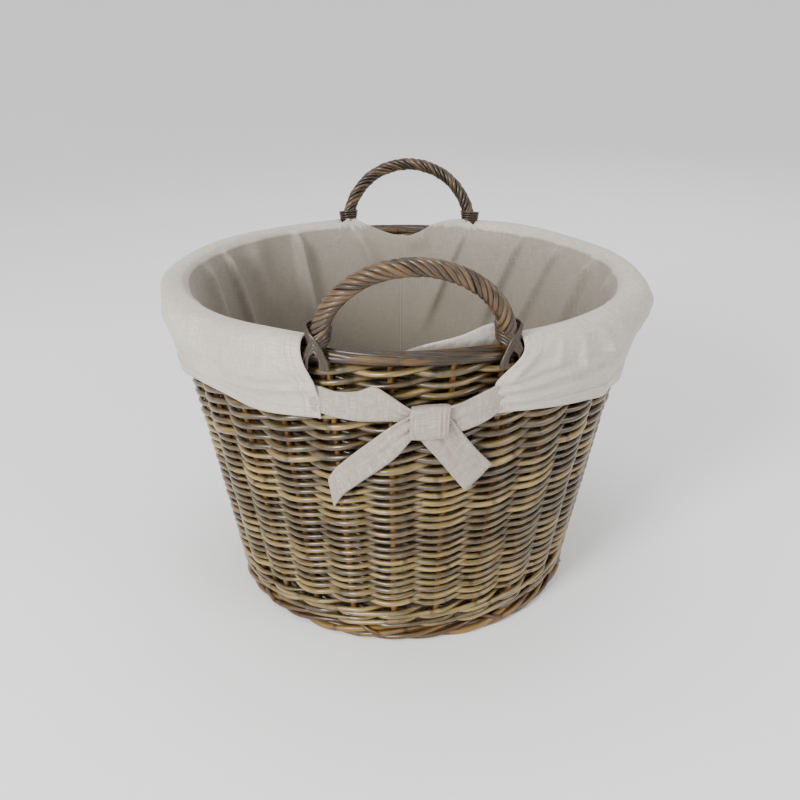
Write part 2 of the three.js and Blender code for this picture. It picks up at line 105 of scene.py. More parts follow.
class Wire:
    """A node's output that can be written into sums."""

    def __init__(self, maker: "TreeMaker", socket: bpy.types.NodeSocket) -> None:
        """Keeps the socket and the maker of its tree."""
        self.maker = maker
        self.socket = socket

    def __add__(self, other: "Wire | Number") -> "Wire":
        """The sum."""
        return self.maker.math("ADD", self, other)

    def __radd__(self, other: Number) -> "Wire":
        """The sum, from the right."""
        return self.maker.math("ADD", other, self)

    def __sub__(self, other: "Wire | Number") -> "Wire":
        """The difference."""
        return self.maker.math("SUBTRACT", self, other)

    def __rsub__(self, other: Number) -> "Wire":
        """The difference, from the right."""
        return self.maker.math("SUBTRACT", other, self)

    def __mul__(self, other: "Wire | Number") -> "Wire":
        """The product."""
        return self.maker.math("MULTIPLY", self, other)

    def __rmul__(self, other: Number) -> "Wire":
        """The product, from the right."""
        return self.maker.math("MULTIPLY", other, self)

    def __truediv__(self, other: "Wire | Number") -> "Wire":
        """The quotient."""
        return self.maker.math("DIVIDE", self, other)


class TreeMaker:
    """Adds nodes to one tree and joins them."""

    def __init__(self, tree: bpy.types.NodeTree) -> None:
        """Keeps the tree."""
        self.tree = tree

    def join(self, source: "Wire | object", target: bpy.types.NodeSocket) -> None:
        """Links a wire to an input, or sets the input to a plain value.

        Args:
            source: a wire, or the value that the input takes.
            target: the input.
        """
        if isinstance(source, Wire):
            self.tree.links.new(source.socket, target)
        else:
            target.default_value = source

    def node(self, kind: str, inputs: dict | None = None, **settings: object) -> bpy.types.Node:
        """Adds one node.

        Args:
            kind: the node's type name.
            inputs: values or wires by input name or number.
            settings: the node's own properties.

        Returns:
            The node.
        """
        made = self.tree.nodes.new(kind)
        for name, value in settings.items():
            setattr(made, name, value)
        for name, value in (inputs or {}).items():
            self.join(value, made.inputs[name])
        return made

    def wire(self, kind: str, inputs: dict | None = None, output: str | int = 0,
             **settings: object) -> Wire:
        """Adds one node and gives one of its outputs.

        Args:
            kind: the node's type name.
            inputs: values or wires by input name or number.
            output: the output's name or number.
            settings: the node's own properties.

        Returns:
            The output as a wire.
        """
        return Wire(self, self.node(kind, inputs, **settings).outputs[output])

    def math(self, operation: str, *values: "Wire | Number") -> Wire:
        """One Math node."""
        return self.wire("ShaderNodeMath", dict(enumerate(values)), operation=operation)

    def smooth_step(self, value: Wire, low: "Wire | Number", high: "Wire | Number") -> Wire:
        """Rises smoothly from 0 at low to 1 at high."""
        inputs = {"Value": value, "From Min": low, "From Max": high}
        return self.wire("ShaderNodeMapRange", inputs, interpolation_type="SMOOTHSTEP")

    def vector(self, x: "Wire | Number", y: "Wire | Number", z: "Wire | Number") -> Wire:
        """A vector from its three parts."""
        return self.wire("ShaderNodeCombineXYZ", {"X": x, "Y": y, "Z": z})

    def vector_math(self, operation: str, *values: object) -> Wire:
        """One Vector Math node."""
        return self.wire("ShaderNodeVectorMath", dict(enumerate(values)), operation=operation)

    def scaled(self, vector: Wire, factor: "Wire | Number") -> Wire:
        """A vector times a number."""
        return self.wire("ShaderNodeVectorMath", {"Vector": vector, "Scale": factor}, operation="SCALE")

    def noise(self, vector: Wire, scale: float, detail: float = 2.0, roughness: float = 0.5) -> Wire:
        """A noise texture's value, around one half."""
        inputs = {"Vector": vector, "Scale": scale, "Detail": detail, "Roughness": roughness}
        return self.wire("ShaderNodeTexNoise", inputs, output="Fac")


class Recipe(TreeMaker):
    """A Geometry Nodes tree with named inputs, which is run to give a plain mesh."""

    def __init__(self, name: str) -> None:
        """Starts the tree with a geometry and a finish as its inputs.

        Args:
            name: the tree's name.
        """
        super().__init__(bpy.data.node_groups.new(name, "GeometryNodeTree"))
        face = self.tree.interface
        face.new_socket("Path", in_out="INPUT", socket_type="NodeSocketGeometry")
        face.new_socket("Finish", in_out="INPUT", socket_type="NodeSocketMaterial")
        face.new_socket("Geometry", in_out="OUTPUT", socket_type="NodeSocketGeometry")
        self.entry = self.tree.nodes.new("NodeGroupInput")

    def given(self, name: str) -> Wire:
        """An input's wire, by its name."""
        return Wire(self, self.entry.outputs[name])

    def size(self, name: str) -> Wire:
        """A new number input."""
        self.tree.interface.new_socket(name, in_out="INPUT", socket_type="NodeSocketFloat")
        return self.given(name)

    def count(self, name: str) -> Wire:
        """A new whole-number input."""
        self.tree.interface.new_socket(name, in_out="INPUT", socket_type="NodeSocketInt")
        return self.given(name)

    def store(self, geometry: Wire, name: str, value: Wire, kind: str = "FLOAT") -> Wire:
        """Stores a named attribute on the points."""
        inputs = {"Geometry": geometry, "Name": name, "Value": value}
        return self.wire("GeometryNodeStoreNamedAttribute", inputs, data_type=kind, domain="POINT")

    def random(self, key: Wire, seed: Wire) -> Wire:
        """A random number from 0 to 1 for each key.

        Args:
            key: what each number belongs to.
            seed: the seed.

        Returns:
            The number.
        """
        chance = self.node("FunctionNodeRandomValue", data_type="FLOAT")
        self.join(key, chance.inputs["ID"])
        self.join(seed, chance.inputs["Seed"])
        return Wire(self, chance.outputs[1])

    def sweep(self, curve: Wire, radius: Wire, sides: int) -> Wire:
        """Runs a round section along a curve, and stores which way each point faces.

        Args:
            curve: the rods' middles.
            radius: each point's radius.
            sides: corners of the section.

        Returns:
            The rods' mesh.
        """
        circle = self.wire("GeometryNodeCurvePrimitiveCircle", {"Resolution": sides, "Radius": 1.0})
        section = self.store(circle, "across", self.wire("GeometryNodeInputPosition"), "FLOAT_VECTOR")
        inputs = {"Curve": curve, "Profile Curve": section, "Scale": radius, "Fill Caps": True}
        return self.wire("GeometryNodeCurveToMesh", inputs)

    def serve(self, geometry: Wire) -> None:
        """Ends the tree: smooth, realized and with its finish set.

        Args:
            geometry: what the tree has made.
        """
        smooth = self.wire("GeometryNodeSetShadeSmooth", {"Geometry": geometry})
        real = self.wire("GeometryNodeRealizeInstances", {"Geometry": smooth})
        dressed = self.wire("GeometryNodeSetMaterial", {"Geometry": real, "Material": self.given("Finish")})
        self.node("NodeGroupOutput", {"Geometry": dressed})

    def run(self, name: str, finish: bpy.types.Material, sizes: dict,
            path: bpy.types.Mesh | None = None) -> bpy.types.Object:
        """Runs the tree once.

        Args:
            name: the new piece's name.
            finish: its material.
            sizes: the tree's named inputs.
            path: the lines that it follows, if it follows any.

        Returns:
            The piece, as a plain mesh at the origin.
        """
        piece = bpy.data.objects.new(name, path or bpy.data.meshes.new(name))
        bpy.context.collection.objects.link(piece)
        modifier = piece.modifiers.new(self.tree.name, "NODES")
        modifier.node_group = self.tree
        values = {**sizes, "Finish": finish}
        for item in self.tree.interface.items_tree:
            if item.name in values:
                modifier[item.identifier] = values[item.name]
        evaluated = piece.evaluated_get(bpy.context.evaluated_depsgraph_get())
        made = bpy.data.meshes.new_from_object(evaluated)
        piece.modifiers.clear()
        piece.data = made
        made.name = name
        return piece


# ---------------------------------------------------------------- recipes


def twining_recipe() -> Recipe:
    """The weaving: rods that wind round the stakes in a rising or a widening spiral.

    Each rod passes in front of some stakes and behind one, and the rods follow each other one
    stake apart. Front strokes rise to the right.

    Returns:
        The recipe.
    """
    r = Recipe("Twined rods")
    rods, stakes, steps = r.count("Rods"), r.count("Stakes"), r.count("Steps")
    rounds, phase = r.size("Rounds"), r.size("Phase")
    start_radius, start_height = r.size("Start Radius"), r.size("Start Height")
    lean, pitch = r.size("Lean"), r.size("Row Pitch")
    front_stakes, turn_in = r.size("Front Stakes"), r.size("Turn In")
    depth, rise = r.size("Depth"), r.size("Rise")
    thickness, taper = r.size("Rod Radius"), r.size("Taper")
    rod_stakes, wander, seed = r.size("Stakes For Each Rod"), r.size("Wander"), r.count("Seed")

    line = r.wire("GeometryNodeCurvePrimitiveLine")
    points = rounds * stakes * steps + 1
    spine = r.wire("GeometryNodeResampleCurve", {"Curve": line, "Count": points}, mode="COUNT")
    spine = r.store(spine, "factor", r.wire("GeometryNodeSplineParameter", output="Factor"))
    copies = r.node("GeometryNodeDuplicateElements", {"Geometry": spine, "Amount": rods}, domain="SPLINE")
    number = Wire(r, copies.outputs["Duplicate Index"])
    curve = r.store(Wire(r, copies.outputs["Geometry"]), "rod", number)
    factor = r.wire("GeometryNodeInputNamedAttribute", {"Name": "factor"}, data_type="FLOAT")
    rod = r.wire("GeometryNodeInputNamedAttribute", {"Name": "rod"}, data_type="FLOAT")

    passed = factor * rounds * stakes
    place = r.math("FLOORED_MODULO", passed + rod, rods)
    away = r.math("ABSOLUTE", r.math("WRAP", place - front_stakes / 2, rods / 2, rods * -0.5))
    outside = 1 - r.smooth_step(away, front_stakes / 2 - turn_in, front_stakes / 2 + turn_in)
    climbing = r.math("COSINE", place / front_stakes * math.pi) * -1
    falling = r.math("COSINE", (place - front_stakes) / (rods - front_stakes) * math.pi)
    in_front = r.math("LESS_THAN", place, front_stakes)
    stroke = climbing * in_front + falling * (1 - in_front)

    angle = (passed - 0.5) / stakes * FULL_TURN + phase
    spot = r.vector(passed * 0.35, rod * 9.1, r.math("FLOOR", passed / stakes) * 3.7 + seed)
    drift = (r.noise(spot, 1.0) - 0.5) * wander
    shiver = (r.noise(r.vector_math("ADD", spot, (51.0, 7.0, 3.0)), 1.0) - 0.5) * wander
    up = pitch * passed / stakes + rise * stroke + drift
    out = depth * (outside * 2 - 1) + shiver * 0.5
    across, above = r.math("COSINE", lean), r.math("SINE", lean)
    radius = start_radius + up * across + out * above
    height = start_height + up * above - out * across
    position = r.vector(radius * r.math("SINE", angle), radius * r.math("COSINE", angle) * -1, height)
    curve = r.wire("GeometryNodeSetPosition", {"Geometry": curve, "Position": position})

    used = (passed + rod + 0.5 + rod * rod_stakes / rods) / rod_stakes
    piece_number = r.math("FLOOR", used)
    share = used - piece_number
    tone = r.random(piece_number * rods + rod, seed)
    curve = r.store(curve, "tone", tone)
    # hidden: how far each point lies behind the stakes; the willow finishes paint shade there
    curve = r.store(curve, "hidden", 1 - outside)
    curve = r.store(curve, "along", passed * start_radius * FULL_TURN / stakes)
    girth = thickness * (1 + taper * (0.5 - share)) * (0.95 + tone * 0.1)
    r.serve(r.sweep(curve, girth, 8))
    return r


def rope_recipe(mode: NormalMode) -> Recipe:
    """Strands laid round a path, over a core.

    The path's points carry "spread", which draws the strands in to the core where it is small.

    Args:
        mode: how the cross direction is carried along the path.

    Returns:
        The recipe.
    """
    r = Recipe("Rope " + mode.value.lower())
    strands, steps = r.count("Strands"), r.count("Steps")
    lay_out, lay_up, turns = r.size("Lay Out"), r.size("Lay Up"), r.size("Turns")
    thickness, core, uneven = r.size("Strand Radius"), r.size("Core Radius"), r.size("Uneven")
    wander, seed = r.size("Wander"), r.count("Seed")

    path = r.wire("GeometryNodeMeshToCurve", {"Mesh": r.given("Path")})
    path = r.wire("GeometryNodeResampleCurve", {"Curve": path, "Count": steps}, mode="COUNT")
    path = r.wire("GeometryNodeSetCurveNormal", {"Curve": path}, mode=mode.value)
    path = r.store(path, "factor", r.wire("GeometryNodeSplineParameter", output="Factor"))
    path = r.store(path, "length", r.wire("GeometryNodeSplineParameter", output="Length"))
    copies = r.node("GeometryNodeDuplicateElements", {"Geometry": path, "Amount": strands}, domain="SPLINE")
    number = Wire(r, copies.outputs["Duplicate Index"])
    curve = r.store(Wire(r, copies.outputs["Geometry"]), "strand", number)

    def read(name: str) -> Wire:
        """A stored number."""
        return r.wire("GeometryNodeInputNamedAttribute", {"Name": name}, data_type="FLOAT")

    factor, strand, length, spread = read("factor"), read("strand"), read("length"), read("spread")
    normal = r.wire("GeometryNodeInputNormal")
    side = r.vector_math("CROSS_PRODUCT", r.wire("GeometryNodeInputTangent"), normal)
    chance = r.random(strand, seed)
    spot = r.vector(length * 25, strand * 5.3, seed)
    drift = (r.noise(spot, 1.0) - 0.5) * wander
    turn = (strand + chance * 0.25) / strands * FULL_TURN + turns * factor * FULL_TURN + drift
    outward = r.scaled(normal, r.math("COSINE", turn) * lay_out * spread)
    upward = r.scaled(side, r.math("SINE", turn) * lay_up * spread)
    shift = r.vector_math("ADD", outward, upward)
    curve = r.wire("GeometryNodeSetPosition", {"Geometry": curve, "Offset": shift})
    curve = r.store(curve, "tone", chance)
    curve = r.store(curve, "along", length + strand * 0.31)
    girth = thickness * (1 + uneven * (chance - 0.5)) * (0.94 + r.noise(spot, 1.7) * 0.12)
    laid = r.sweep(curve, girth, 8)
    heart = r.store(path, "tone", factor * 0 + 0.1)
    heart = r.sweep(heart, core * (0.4 + 0.6 * spread), 8)
    both = r.node("GeometryNodeJoinGeometry")
    r.join(laid, both.inputs[0])
    r.join(heart, both.inputs[0])
    r.serve(Wire(r, both.outputs[0]))
    return r


def rod_recipe() -> Recipe:
    """Separate willow rods along lines, thinner towards their tips.

    Returns:
        The recipe.
    """
    r = Recipe("Willow rods")
    thickness, taper, step = r.size("Rod Radius"), r.size("Taper"), r.size("Step")
    wander, seed = r.size("Wander"), r.count("Seed")
    path = r.wire("GeometryNodeMeshToCurve", {"Mesh": r.given("Path")})
    path = r.wire("GeometryNodeResampleCurve", {"Curve": path, "Length": step}, mode="LENGTH")
    where = r.wire("GeometryNodeInputPosition")
    bump = r.wire("ShaderNodeTexNoise", {"Vector": where, "Scale": 28.0, "Detail": 1.0}, output="Color")
    shift = r.scaled(r.vector_math("SUBTRACT", bump, (0.5, 0.5, 0.5)), wander)
    path = r.wire("GeometryNodeSetPosition", {"Geometry": path, "Offset": shift})
    middle = r.wire("GeometryNodeFieldOnDomain", {"Value": r.wire("GeometryNodeInputIndex")},
                    data_type="INT", domain="CURVE")
    tone = r.random(middle, seed)
    path = r.store(path, "tone", tone)
    path = r.store(path, "along", r.wire("GeometryNodeSplineParameter", output="Length"))
    share = r.wire("GeometryNodeSplineParameter", output="Factor")
    r.serve(r.sweep(path, thickness * (1 + taper * (0.5 - share)), 12))
    return r


def stitch_recipe() -> Recipe:
    """A row of short thread stitches along lines, a gap apart.

    Returns:
        The recipe.
    """
    r = Recipe("Stitches")
    pitch, length, thread = r.size("Stitch Pitch"), r.size("Stitch Length"), r.size("Thread Radius")
    path = r.wire("GeometryNodeMeshToCurve", {"Mesh": r.given("Path")})
    spots = r.node("GeometryNodeCurveToPoints", {"Curve": path, "Length": pitch}, mode="LENGTH")
    half = length * 0.5
    ends = {"Start": r.vector(0, 0, half * -1), "End": r.vector(0, 0, half)}
    line = r.wire("GeometryNodeCurvePrimitiveLine", ends)
    line = r.wire("GeometryNodeResampleCurve", {"Curve": line, "Count": 5}, mode="COUNT")
    share = r.wire("GeometryNodeSplineParameter", output="Factor")
    swell = r.math("SQRT", r.math("SINE", share * 2.9 + 0.12))
    one = r.sweep(line, thread * swell, 6)
    inputs = {"Points": Wire(r, spots.outputs["Points"]), "Instance": one,
              "Rotation": Wire(r, spots.outputs["Rotation"])}
    r.serve(r.wire("GeometryNodeInstanceOnPoints", inputs))
    return r


# ---------------------------------------------------------------- shared shader effects


class Effect(TreeMaker):
    """A shader node group with named inputs and outputs."""

    def __init__(self, name: str) -> None:
        """Starts the group."""
        super().__init__(bpy.data.node_groups.new(name, "ShaderNodeTree"))
        self.entry = self.tree.nodes.new("NodeGroupInput")

    def takes(self, name: str, kind: str = "NodeSocketFloat") -> Wire:
        """A new input's wire."""
        self.tree.interface.new_socket(name, in_out="INPUT", socket_type=kind)
        return Wire(self, self.entry.outputs[name])

    def gives(self, **values: Wire) -> None:
        """Ends the group with its outputs.

        Args:
            values: what each output gives, by its name.
        """
        for name in values:
            self.tree.interface.new_socket(name, in_out="OUTPUT", socket_type="NodeSocketFloat")
        self.node("NodeGroupOutput", values)


def bark_effect() -> Effect:
    """Willow bark: fine streaks along the rod, worn patches, and the rings left by its buds.

    Returns:
        The group, with outputs Streak, Worn, Bud and Height.
    """
    e = Effect("Willow bark")
    along, across, tone = e.takes("Along"), e.takes("Across", "NodeSocketVector"), e.takes("Tone")
    fineness = e.takes("Fineness")
    parts = e.node("ShaderNodeSeparateXYZ", {"Vector": across})
    x, y = Wire(e, parts.outputs["X"]), Wire(e, parts.outputs["Y"])
    shift = tone * 41
    streak = e.noise(e.vector(x * 1.6 + shift, y * 1.6, along * fineness), 2.6, 4.0, 0.62)
    worn = e.noise(e.vector(x * 0.7 + shift, y * 0.7, along * fineness * 1.3 + 4.7), 1.0, 2.0, 0.55)
    beat = e.math("FRACT", along * 14 + tone * 7.3 + streak * 0.06)
    bud = 1 - e.smooth_step(e.math("ABSOLUTE", beat - 0.5), 0.012, 0.05)
    e.gives(Streak=streak, Worn=worn, Bud=bud, Height=streak * 0.8 + bud * 0.35)
    return e


def linen_effect() -> Effect:
    """Plain woven cotton with a linen look: two thread directions and thicker slubs.

    Returns:
        The group, with outputs Thread, Slub and Height.
    """
    e = Effect("Linen look")
    where, threads = e.takes("Where", "NodeSocketVector"), e.takes("Threads")
    parts = e.node("ShaderNodeSeparateXYZ", {"Vector": where})
    u, v = Wire(e, parts.outputs["X"]) * threads, Wire(e, parts.outputs["Y"]) * threads
    warp = e.noise(e.vector(u, v * 0.045, 2.0), 1.0, 2.0, 0.6)
    weft = e.noise(e.vector(u * 0.045, v, 9.0), 1.0, 2.0, 0.6)
    over = e.math("SINE", u * math.pi) * e.math("SINE", v * math.pi)
    slub = e.math("MAXIMUM", e.smooth_step(warp, 0.6, 0.74), e.smooth_step(weft, 0.6, 0.74))
    thread = (warp + weft) * 0.5 + over * 0.05
    e.gives(Thread=thread, Slub=slub, Height=thread + slub * 0.25)
    return e


def dust_effect() -> Effect:
    """Pale dust and wash in soft patches, heavier on the upper faces.

    Returns:
        The group, with the output Dust.
    """
    e = Effect("Dust and wash")
    where, patch = e.takes("Where", "NodeSocketVector"), e.takes("Patch")
    normal = e.node("ShaderNodeSeparateXYZ", {"Vector": e.wire("ShaderNodeNewGeometry", output="Normal")})
    facing_up = e.smooth_step(Wire(e, normal.outputs["Z"]), -0.2, 0.9)
    cloud = e.noise(e.scaled(where, patch), 1.0, 3.0, 0.6)
    e.gives(Dust=e.smooth_step(cloud, 0.38, 0.72) * (0.35 + facing_up * 0.65))
    return e


@dataclass(frozen=True)
class Effects:
    """The shader groups that the finishes share."""

    bark: Effect = field(default_factory=bark_effect)
    linen: Effect = field(default_factory=linen_effect)
    dust: Effect = field(default_factory=dust_effect)


# ---------------------------------------------------------------- finishes


Colour = tuple[float, float, float, float]


class Skin(TreeMaker):
    """A material's tree, with its Principled shader ready."""

    def __init__(self, name: str) -> None:
        """Starts the material.

        Args:
            name: the material's name.
        """
        self.material = bpy.data.materials.new(name)
        self.material.use_nodes = True
        super().__init__(self.material.node_tree)
        self.tree.nodes.clear()
        self.shader = self.node("ShaderNodeBsdfPrincipled")
        self.node("ShaderNodeOutputMaterial", {"Surface": Wire(self, self.shader.outputs[0])})

    def attribute(self, name: str, output: str = "Fac") -> Wire:
        """A stored attribute."""
        return self.wire("ShaderNodeAttribute", output=output, attribute_name=name)

    def effect(self, group: Effect, **inputs: "Wire | Number") -> bpy.types.Node:
        """Places a shared effect."""
        return self.node("ShaderNodeGroup", inputs, node_tree=group.tree)

    def mix(self, share: "Wire | Number", low: "Wire | Colour", high: "Wire | Colour",
            blend: str = "MIX") -> Wire:
        """A colour between two.

        Args:
            share: 0 gives the first and 1 the second.
            low: the first colour.
            high: the second colour.
            blend: the way they are mixed.

        Returns:
            The colour.
        """
        made = self.node("ShaderNodeMix", data_type="RGBA", blend_type=blend)
        self.join(share, made.inputs[0])
        self.join(low, made.inputs[6])
        self.join(high, made.inputs[7])
        return Wire(self, made.outputs[2])

    def bump(self, height: Wire, distance: float, strength: float) -> None:
        """Lets a height stand out of the surface."""
        inputs = {"Height": height, "Distance": distance, "Strength": strength}
        self.join(self.wire("ShaderNodeBump", inputs), self.shader.inputs["Normal"])


def shade(red: float, green: float, blue: float) -> Colour:
    """A screen colour from 0 to 255 as linear light."""
    return (*[((part / 255 + 0.055) / 1.055) ** 2.4 for part in (red, green, blue)], 1.0)


@dataclass(frozen=True)
class WillowFinish:
    """Varnished willow: bark colours from dark to light, a pale wash, its gloss, and painted shade where the
    rods pass behind the stakes.
    """

    name: str
    dark: Colour
    middle: Colour
    light: Colour
    wash: Colour
    wash_share: float
    roughness: float
    coat: float
    # painted shade: the near-black colour that the rods take where they pass behind the stakes
    recess_shade: Colour = shade(30, 22, 12)
    coat_roughness: float = 0.14
    grain_fineness: float = 22.0
    grain_height: float = 0.4 * MM
    dust_patches: float = 38.0

    def material(self, effects: Effects) -> bpy.types.Material:
        """Builds the material.

        Args:
            effects: the shared shader groups.

        Returns:
            The material.
        """
        skin = Skin(self.name)
        tone = skin.attribute("tone")
        bark = skin.effect(effects.bark, Along=skin.attribute("along"), Tone=tone,
                           Fineness=self.grain_fineness, Across=skin.attribute("across", "Vector"))
        streak, worn = Wire(skin, bark.outputs["Streak"]), Wire(skin, bark.outputs["Worn"])
        bud = Wire(skin, bark.outputs["Bud"])
        where = skin.wire("ShaderNodeTexCoord", output="Object")
        settled = skin.effect(effects.dust, Where=where, Patch=self.dust_patches)
        dust = Wire(skin, settled.outputs["Dust"])
        base = skin.mix(skin.smooth_step(streak, 0.3, 0.7), self.dark, self.middle)
        base = skin.mix(skin.smooth_step(worn + (tone - 0.5) * 0.5, 0.42, 0.85), base, self.light)
        base = skin.mix(bud * 0.7, base, self.dark)
        base = skin.mix(dust * self.wash_share, base, self.wash)
        # Painted shade: where the rods pass behind the stakes they are darkened to near-black and lose most
        # of their coat
        hidden = skin.attribute("hidden")
        base = skin.mix(skin.smooth_step(hidden, 0.35, 1.0) * 0.8, base, self.recess_shade)
        skin.join(base, skin.shader.inputs["Base Color"])
        rough = self.roughness + streak * 0.18 + dust * 0.12
        skin.join(rough, skin.shader.inputs["Roughness"])
        skin.shader.inputs["Coat Roughness"].default_value = self.coat_roughness
        skin.join(self.coat * (1 - dust * 0.4) * (1 - hidden * 0.8), skin.shader.inputs["Coat Weight"])
        skin.bump(Wire(skin, bark.outputs["Height"]), self.grain_height, 0.5)
        return skin.material


@dataclass(frozen=True)
class CottonFinish:
    """Unbleached cotton with a linen look, and painted shade where the cloth lies in the hollow of the
    basket.
    """

    name: str
    cloth: Colour
    thread: Colour
    slub: Colour
    # painted shade: the darker colour that the cloth takes in the hollow of the basket
    inner: Colour = shade(98, 88, 74)
    threads: float = 1500.0
    thread_height: float = 0.35 * MM
    mottle_scale: float = 9.0
    sheen: float = 0.12
    specular: float = 0.2

    def material(self, effects: Effects) -> bpy.types.Material:
        """Builds the material.

        Args:
            effects: the shared shader groups.

        Returns:
            The material.
        """
        skin = Skin(self.name)
        where = skin.wire("ShaderNodeUVMap", uv_map="Cut")
        linen = skin.effect(effects.linen, Where=where, Threads=self.threads)
        thread, slub = Wire(skin, linen.outputs["Thread"]), Wire(skin, linen.outputs["Slub"])
        place = skin.wire("ShaderNodeTexCoord", output="Object")
        cloud = skin.noise(place, self.mottle_scale, 3.0, 0.55)
        base = skin.mix(skin.smooth_step(thread, 0.36, 0.64), self.thread, self.cloth)
        base = skin.mix(slub * 0.3, base, self.slub)
        base = skin.mix(skin.smooth_step(cloud, 0.35, 0.75) * 0.5, base, self.thread)
        # Painted shade: the cloth turns darker by the inside attribute, deep in the basket
        base = skin.mix(skin.attribute("inside") * 0.78, base, self.inner)
        skin.join(base, skin.shader.inputs["Base Color"])
        skin.join(0.86 + thread * 0.1, skin.shader.inputs["Roughness"])
        skin.shader.inputs["Specular IOR Level"].default_value = self.specular
        skin.shader.inputs["Sheen Weight"].default_value = self.sheen
        skin.shader.inputs["Sheen Roughness"].default_value = 0.5
        skin.bump(Wire(skin, linen.outputs["Height"]), self.thread_height, 0.5)
        return skin.material


@dataclass(frozen=True)
class FloorFinish:
    """A plain pale studio floor."""

    name: str = "studio_floor"
    colour: Colour = (0.93, 0.93, 0.93, 1.0)
    darker_patches: float = 0.985

    def material(self) -> bpy.types.Material:
        """Builds the material.

        Returns:
            The material.
        """
        skin = Skin(self.name)
        where = skin.wire("ShaderNodeTexCoord", output="Object")
        cloud = skin.smooth_step(skin.noise(where, 1.5), 0.3, 0.7)
        low = tuple(self.darker_patches * part for part in self.colour[:3]) + (1.0,)
        skin.join(skin.mix(cloud, low, self.colour), skin.shader.inputs["Base Color"])
        skin.shader.inputs["Roughness"].default_value = 0.9
        return skin.material


STAKE_FINISH = WillowFinish("stake_willow", shade(64, 38, 12), shade(112, 74, 30), shade(144, 102, 50),
                            shade(150, 130, 90), 0.08, 0.36, 0.25)
WEAVE_FINISH = WillowFinish("weave_willow", shade(30, 20, 6), shade(76, 58, 23), shade(134, 111, 60),
                            shade(180, 164, 116), 0.2, 0.24, 0.6)
BORDER_FINISH = WillowFinish("border_willow", shade(16, 9, 2), shade(52, 34, 8), shade(98, 70, 24),
                             shade(128, 104, 56), 0.05, 0.34, 0.22)
FOOT_FINISH = WillowFinish("foot_willow", shade(34, 20, 4), shade(80, 54, 15), shade(120, 88, 34),
                           shade(134, 110, 62), 0.06, 0.32, 0.3)
HANDLE_FINISH = WillowFinish("handle_willow", shade(22, 13, 4), shade(54, 37, 15), shade(92, 68, 34),
                             shade(126, 108, 74), 0.1, 0.34, 0.28)
LINING_FINISH = CottonFinish("lining_cotton", shade(198, 192, 182), shade(164, 157, 145),
                             shade(216, 211, 202))
TIE_FINISH = CottonFinish("tie_cotton", shade(172, 164, 152), shade(136, 128, 115),
                          shade(194, 187, 176))
SHADED_FINISH = CottonFinish("lining_cotton_in_shade", shade(46, 40, 33), shade(34, 29, 24),
                             shade(52, 46, 38))
THREAD_FINISH = CottonFinish("stitch_thread", shade(196, 190, 180), shade(168, 161, 150),
                             shade(210, 205, 196))


# ---------------------------------------------------------------- shapes shared by the pieces


def line_mesh(name: str, lines: list[list[Vector]], closed: bool = False,
              spread: list[float] | None = None) -> bpy.types.Mesh:
    """Loose lines for a recipe to follow.

    Args:
        name: the mesh's name.
        lines: each line's points.
        closed: whether each line's end joins its start.
        spread: the "spread" of each point of the first line, or None for 1 everywhere.

    Returns:
        The mesh of edges.
    """
    points, edges = [], []
    for line in lines:
        first = len(points)
        points.extend(line)
        edges.extend((first + i, first + i + 1) for i in range(len(line) - 1))
        if closed:
            edges.append((len(points) - 1, first))
    mesh = bpy.data.meshes.new(name)
    mesh.from_pydata(points, edges, [])
    layer = mesh.attributes.new("spread", "FLOAT", "POINT")
    layer.data.foreach_set("value", spread or [1.0] * len(points))
    return mesh


def smooth_points(points: np.ndarray, count: int) -> np.ndarray:
    """A smooth curve through chosen points, evenly spaced in their numbering.

    Args:
        points: the chosen points, one a row.
        count: how many points to give back.

    Returns:
        The curve's points.
    """
    chosen = np.asarray(points, dtype=float)
    padded = np.vstack([2 * chosen[0] - chosen[1], chosen, 2 * chosen[-1] - chosen[-2]])
    place = np.linspace(0, len(chosen) - 1, count)
    step = np.minimum(place.astype(int), len(chosen) - 2)
    t = (place - step)[:, None]
    a, b, c, d = (padded[step + k] for k in range(4))
    return 0.5 * (2 * b + (c - a) * t + (2 * a - 5 * b + 4 * c - d) * t**2 + (3 * b - a - 3 * c + d) * t**3)


def smooth_between(low: float, high: float, value: np.ndarray) -> np.ndarray:
    """Rises smoothly from 0 at low to 1 at high, or falls where low is above high."""
    t = np.clip((value - low) / (high - low), 0, 1)
    return t * t * (3 - 2 * t)


def curve_value(points: tuple, value: np.ndarray) -> np.ndarray:
    """Reads a smooth curve through (place, height) pairs."""
    dense = smooth_points(np.array(points), 12 * len(points))
    return np.interp(value, dense[:, 0], dense[:, 1])


@dataclass(frozen=True)
class Wall:
    """The cone through the middles of the stakes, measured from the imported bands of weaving."""

    fine_half: float = 8.1 * MM
    thick_half: float = 9.2 * MM
    stake_radius: float = 3 * MM
    first_stake: float = math.radians(10.25)

    @property
    def stakes(self) -> int:
        """How many stakes there are."""
        return sum(name.startswith("stake_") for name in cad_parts)

    @property
    def rim(self) -> float:
        """The height of the border's top."""
        return node_box("border_rod_outer_high")[1].z

    @property
    def slope(self) -> float:
        """The outward growth with height."""
        low, high = node_box("wall_weave_fine")[1], node_box("wall_weave_thick")[1]
        return (high.x - self.thick_half - low.x + self.fine_half) / (high.z - low.z)

    @property
    def lean(self) -> float:
        """The wall's angle above the floor."""
        return math.atan2(1, self.slope)

    def radius(self, height: float) -> float:
        """The radius of the circle through the stakes at a height."""
        band = node_box("wall_weave_fine")[1]
        return band.x - self.fine_half + self.slope * (height - band.z)

    def point(self, side: Side, angle: float, height: float, out: float = 0.0) -> Vector:
        """A point on the wall.

        Args:
            side: the side that the angle is counted from the middle of.
            angle: towards +X, in radians.
            height: above the floor.
            out: distance out from the stakes' middles.

        Returns:
            The point.
        """
        radius = self.radius(height) + out
        return Vector((radius * math.sin(angle), side.value * radius * math.cos(angle), height))


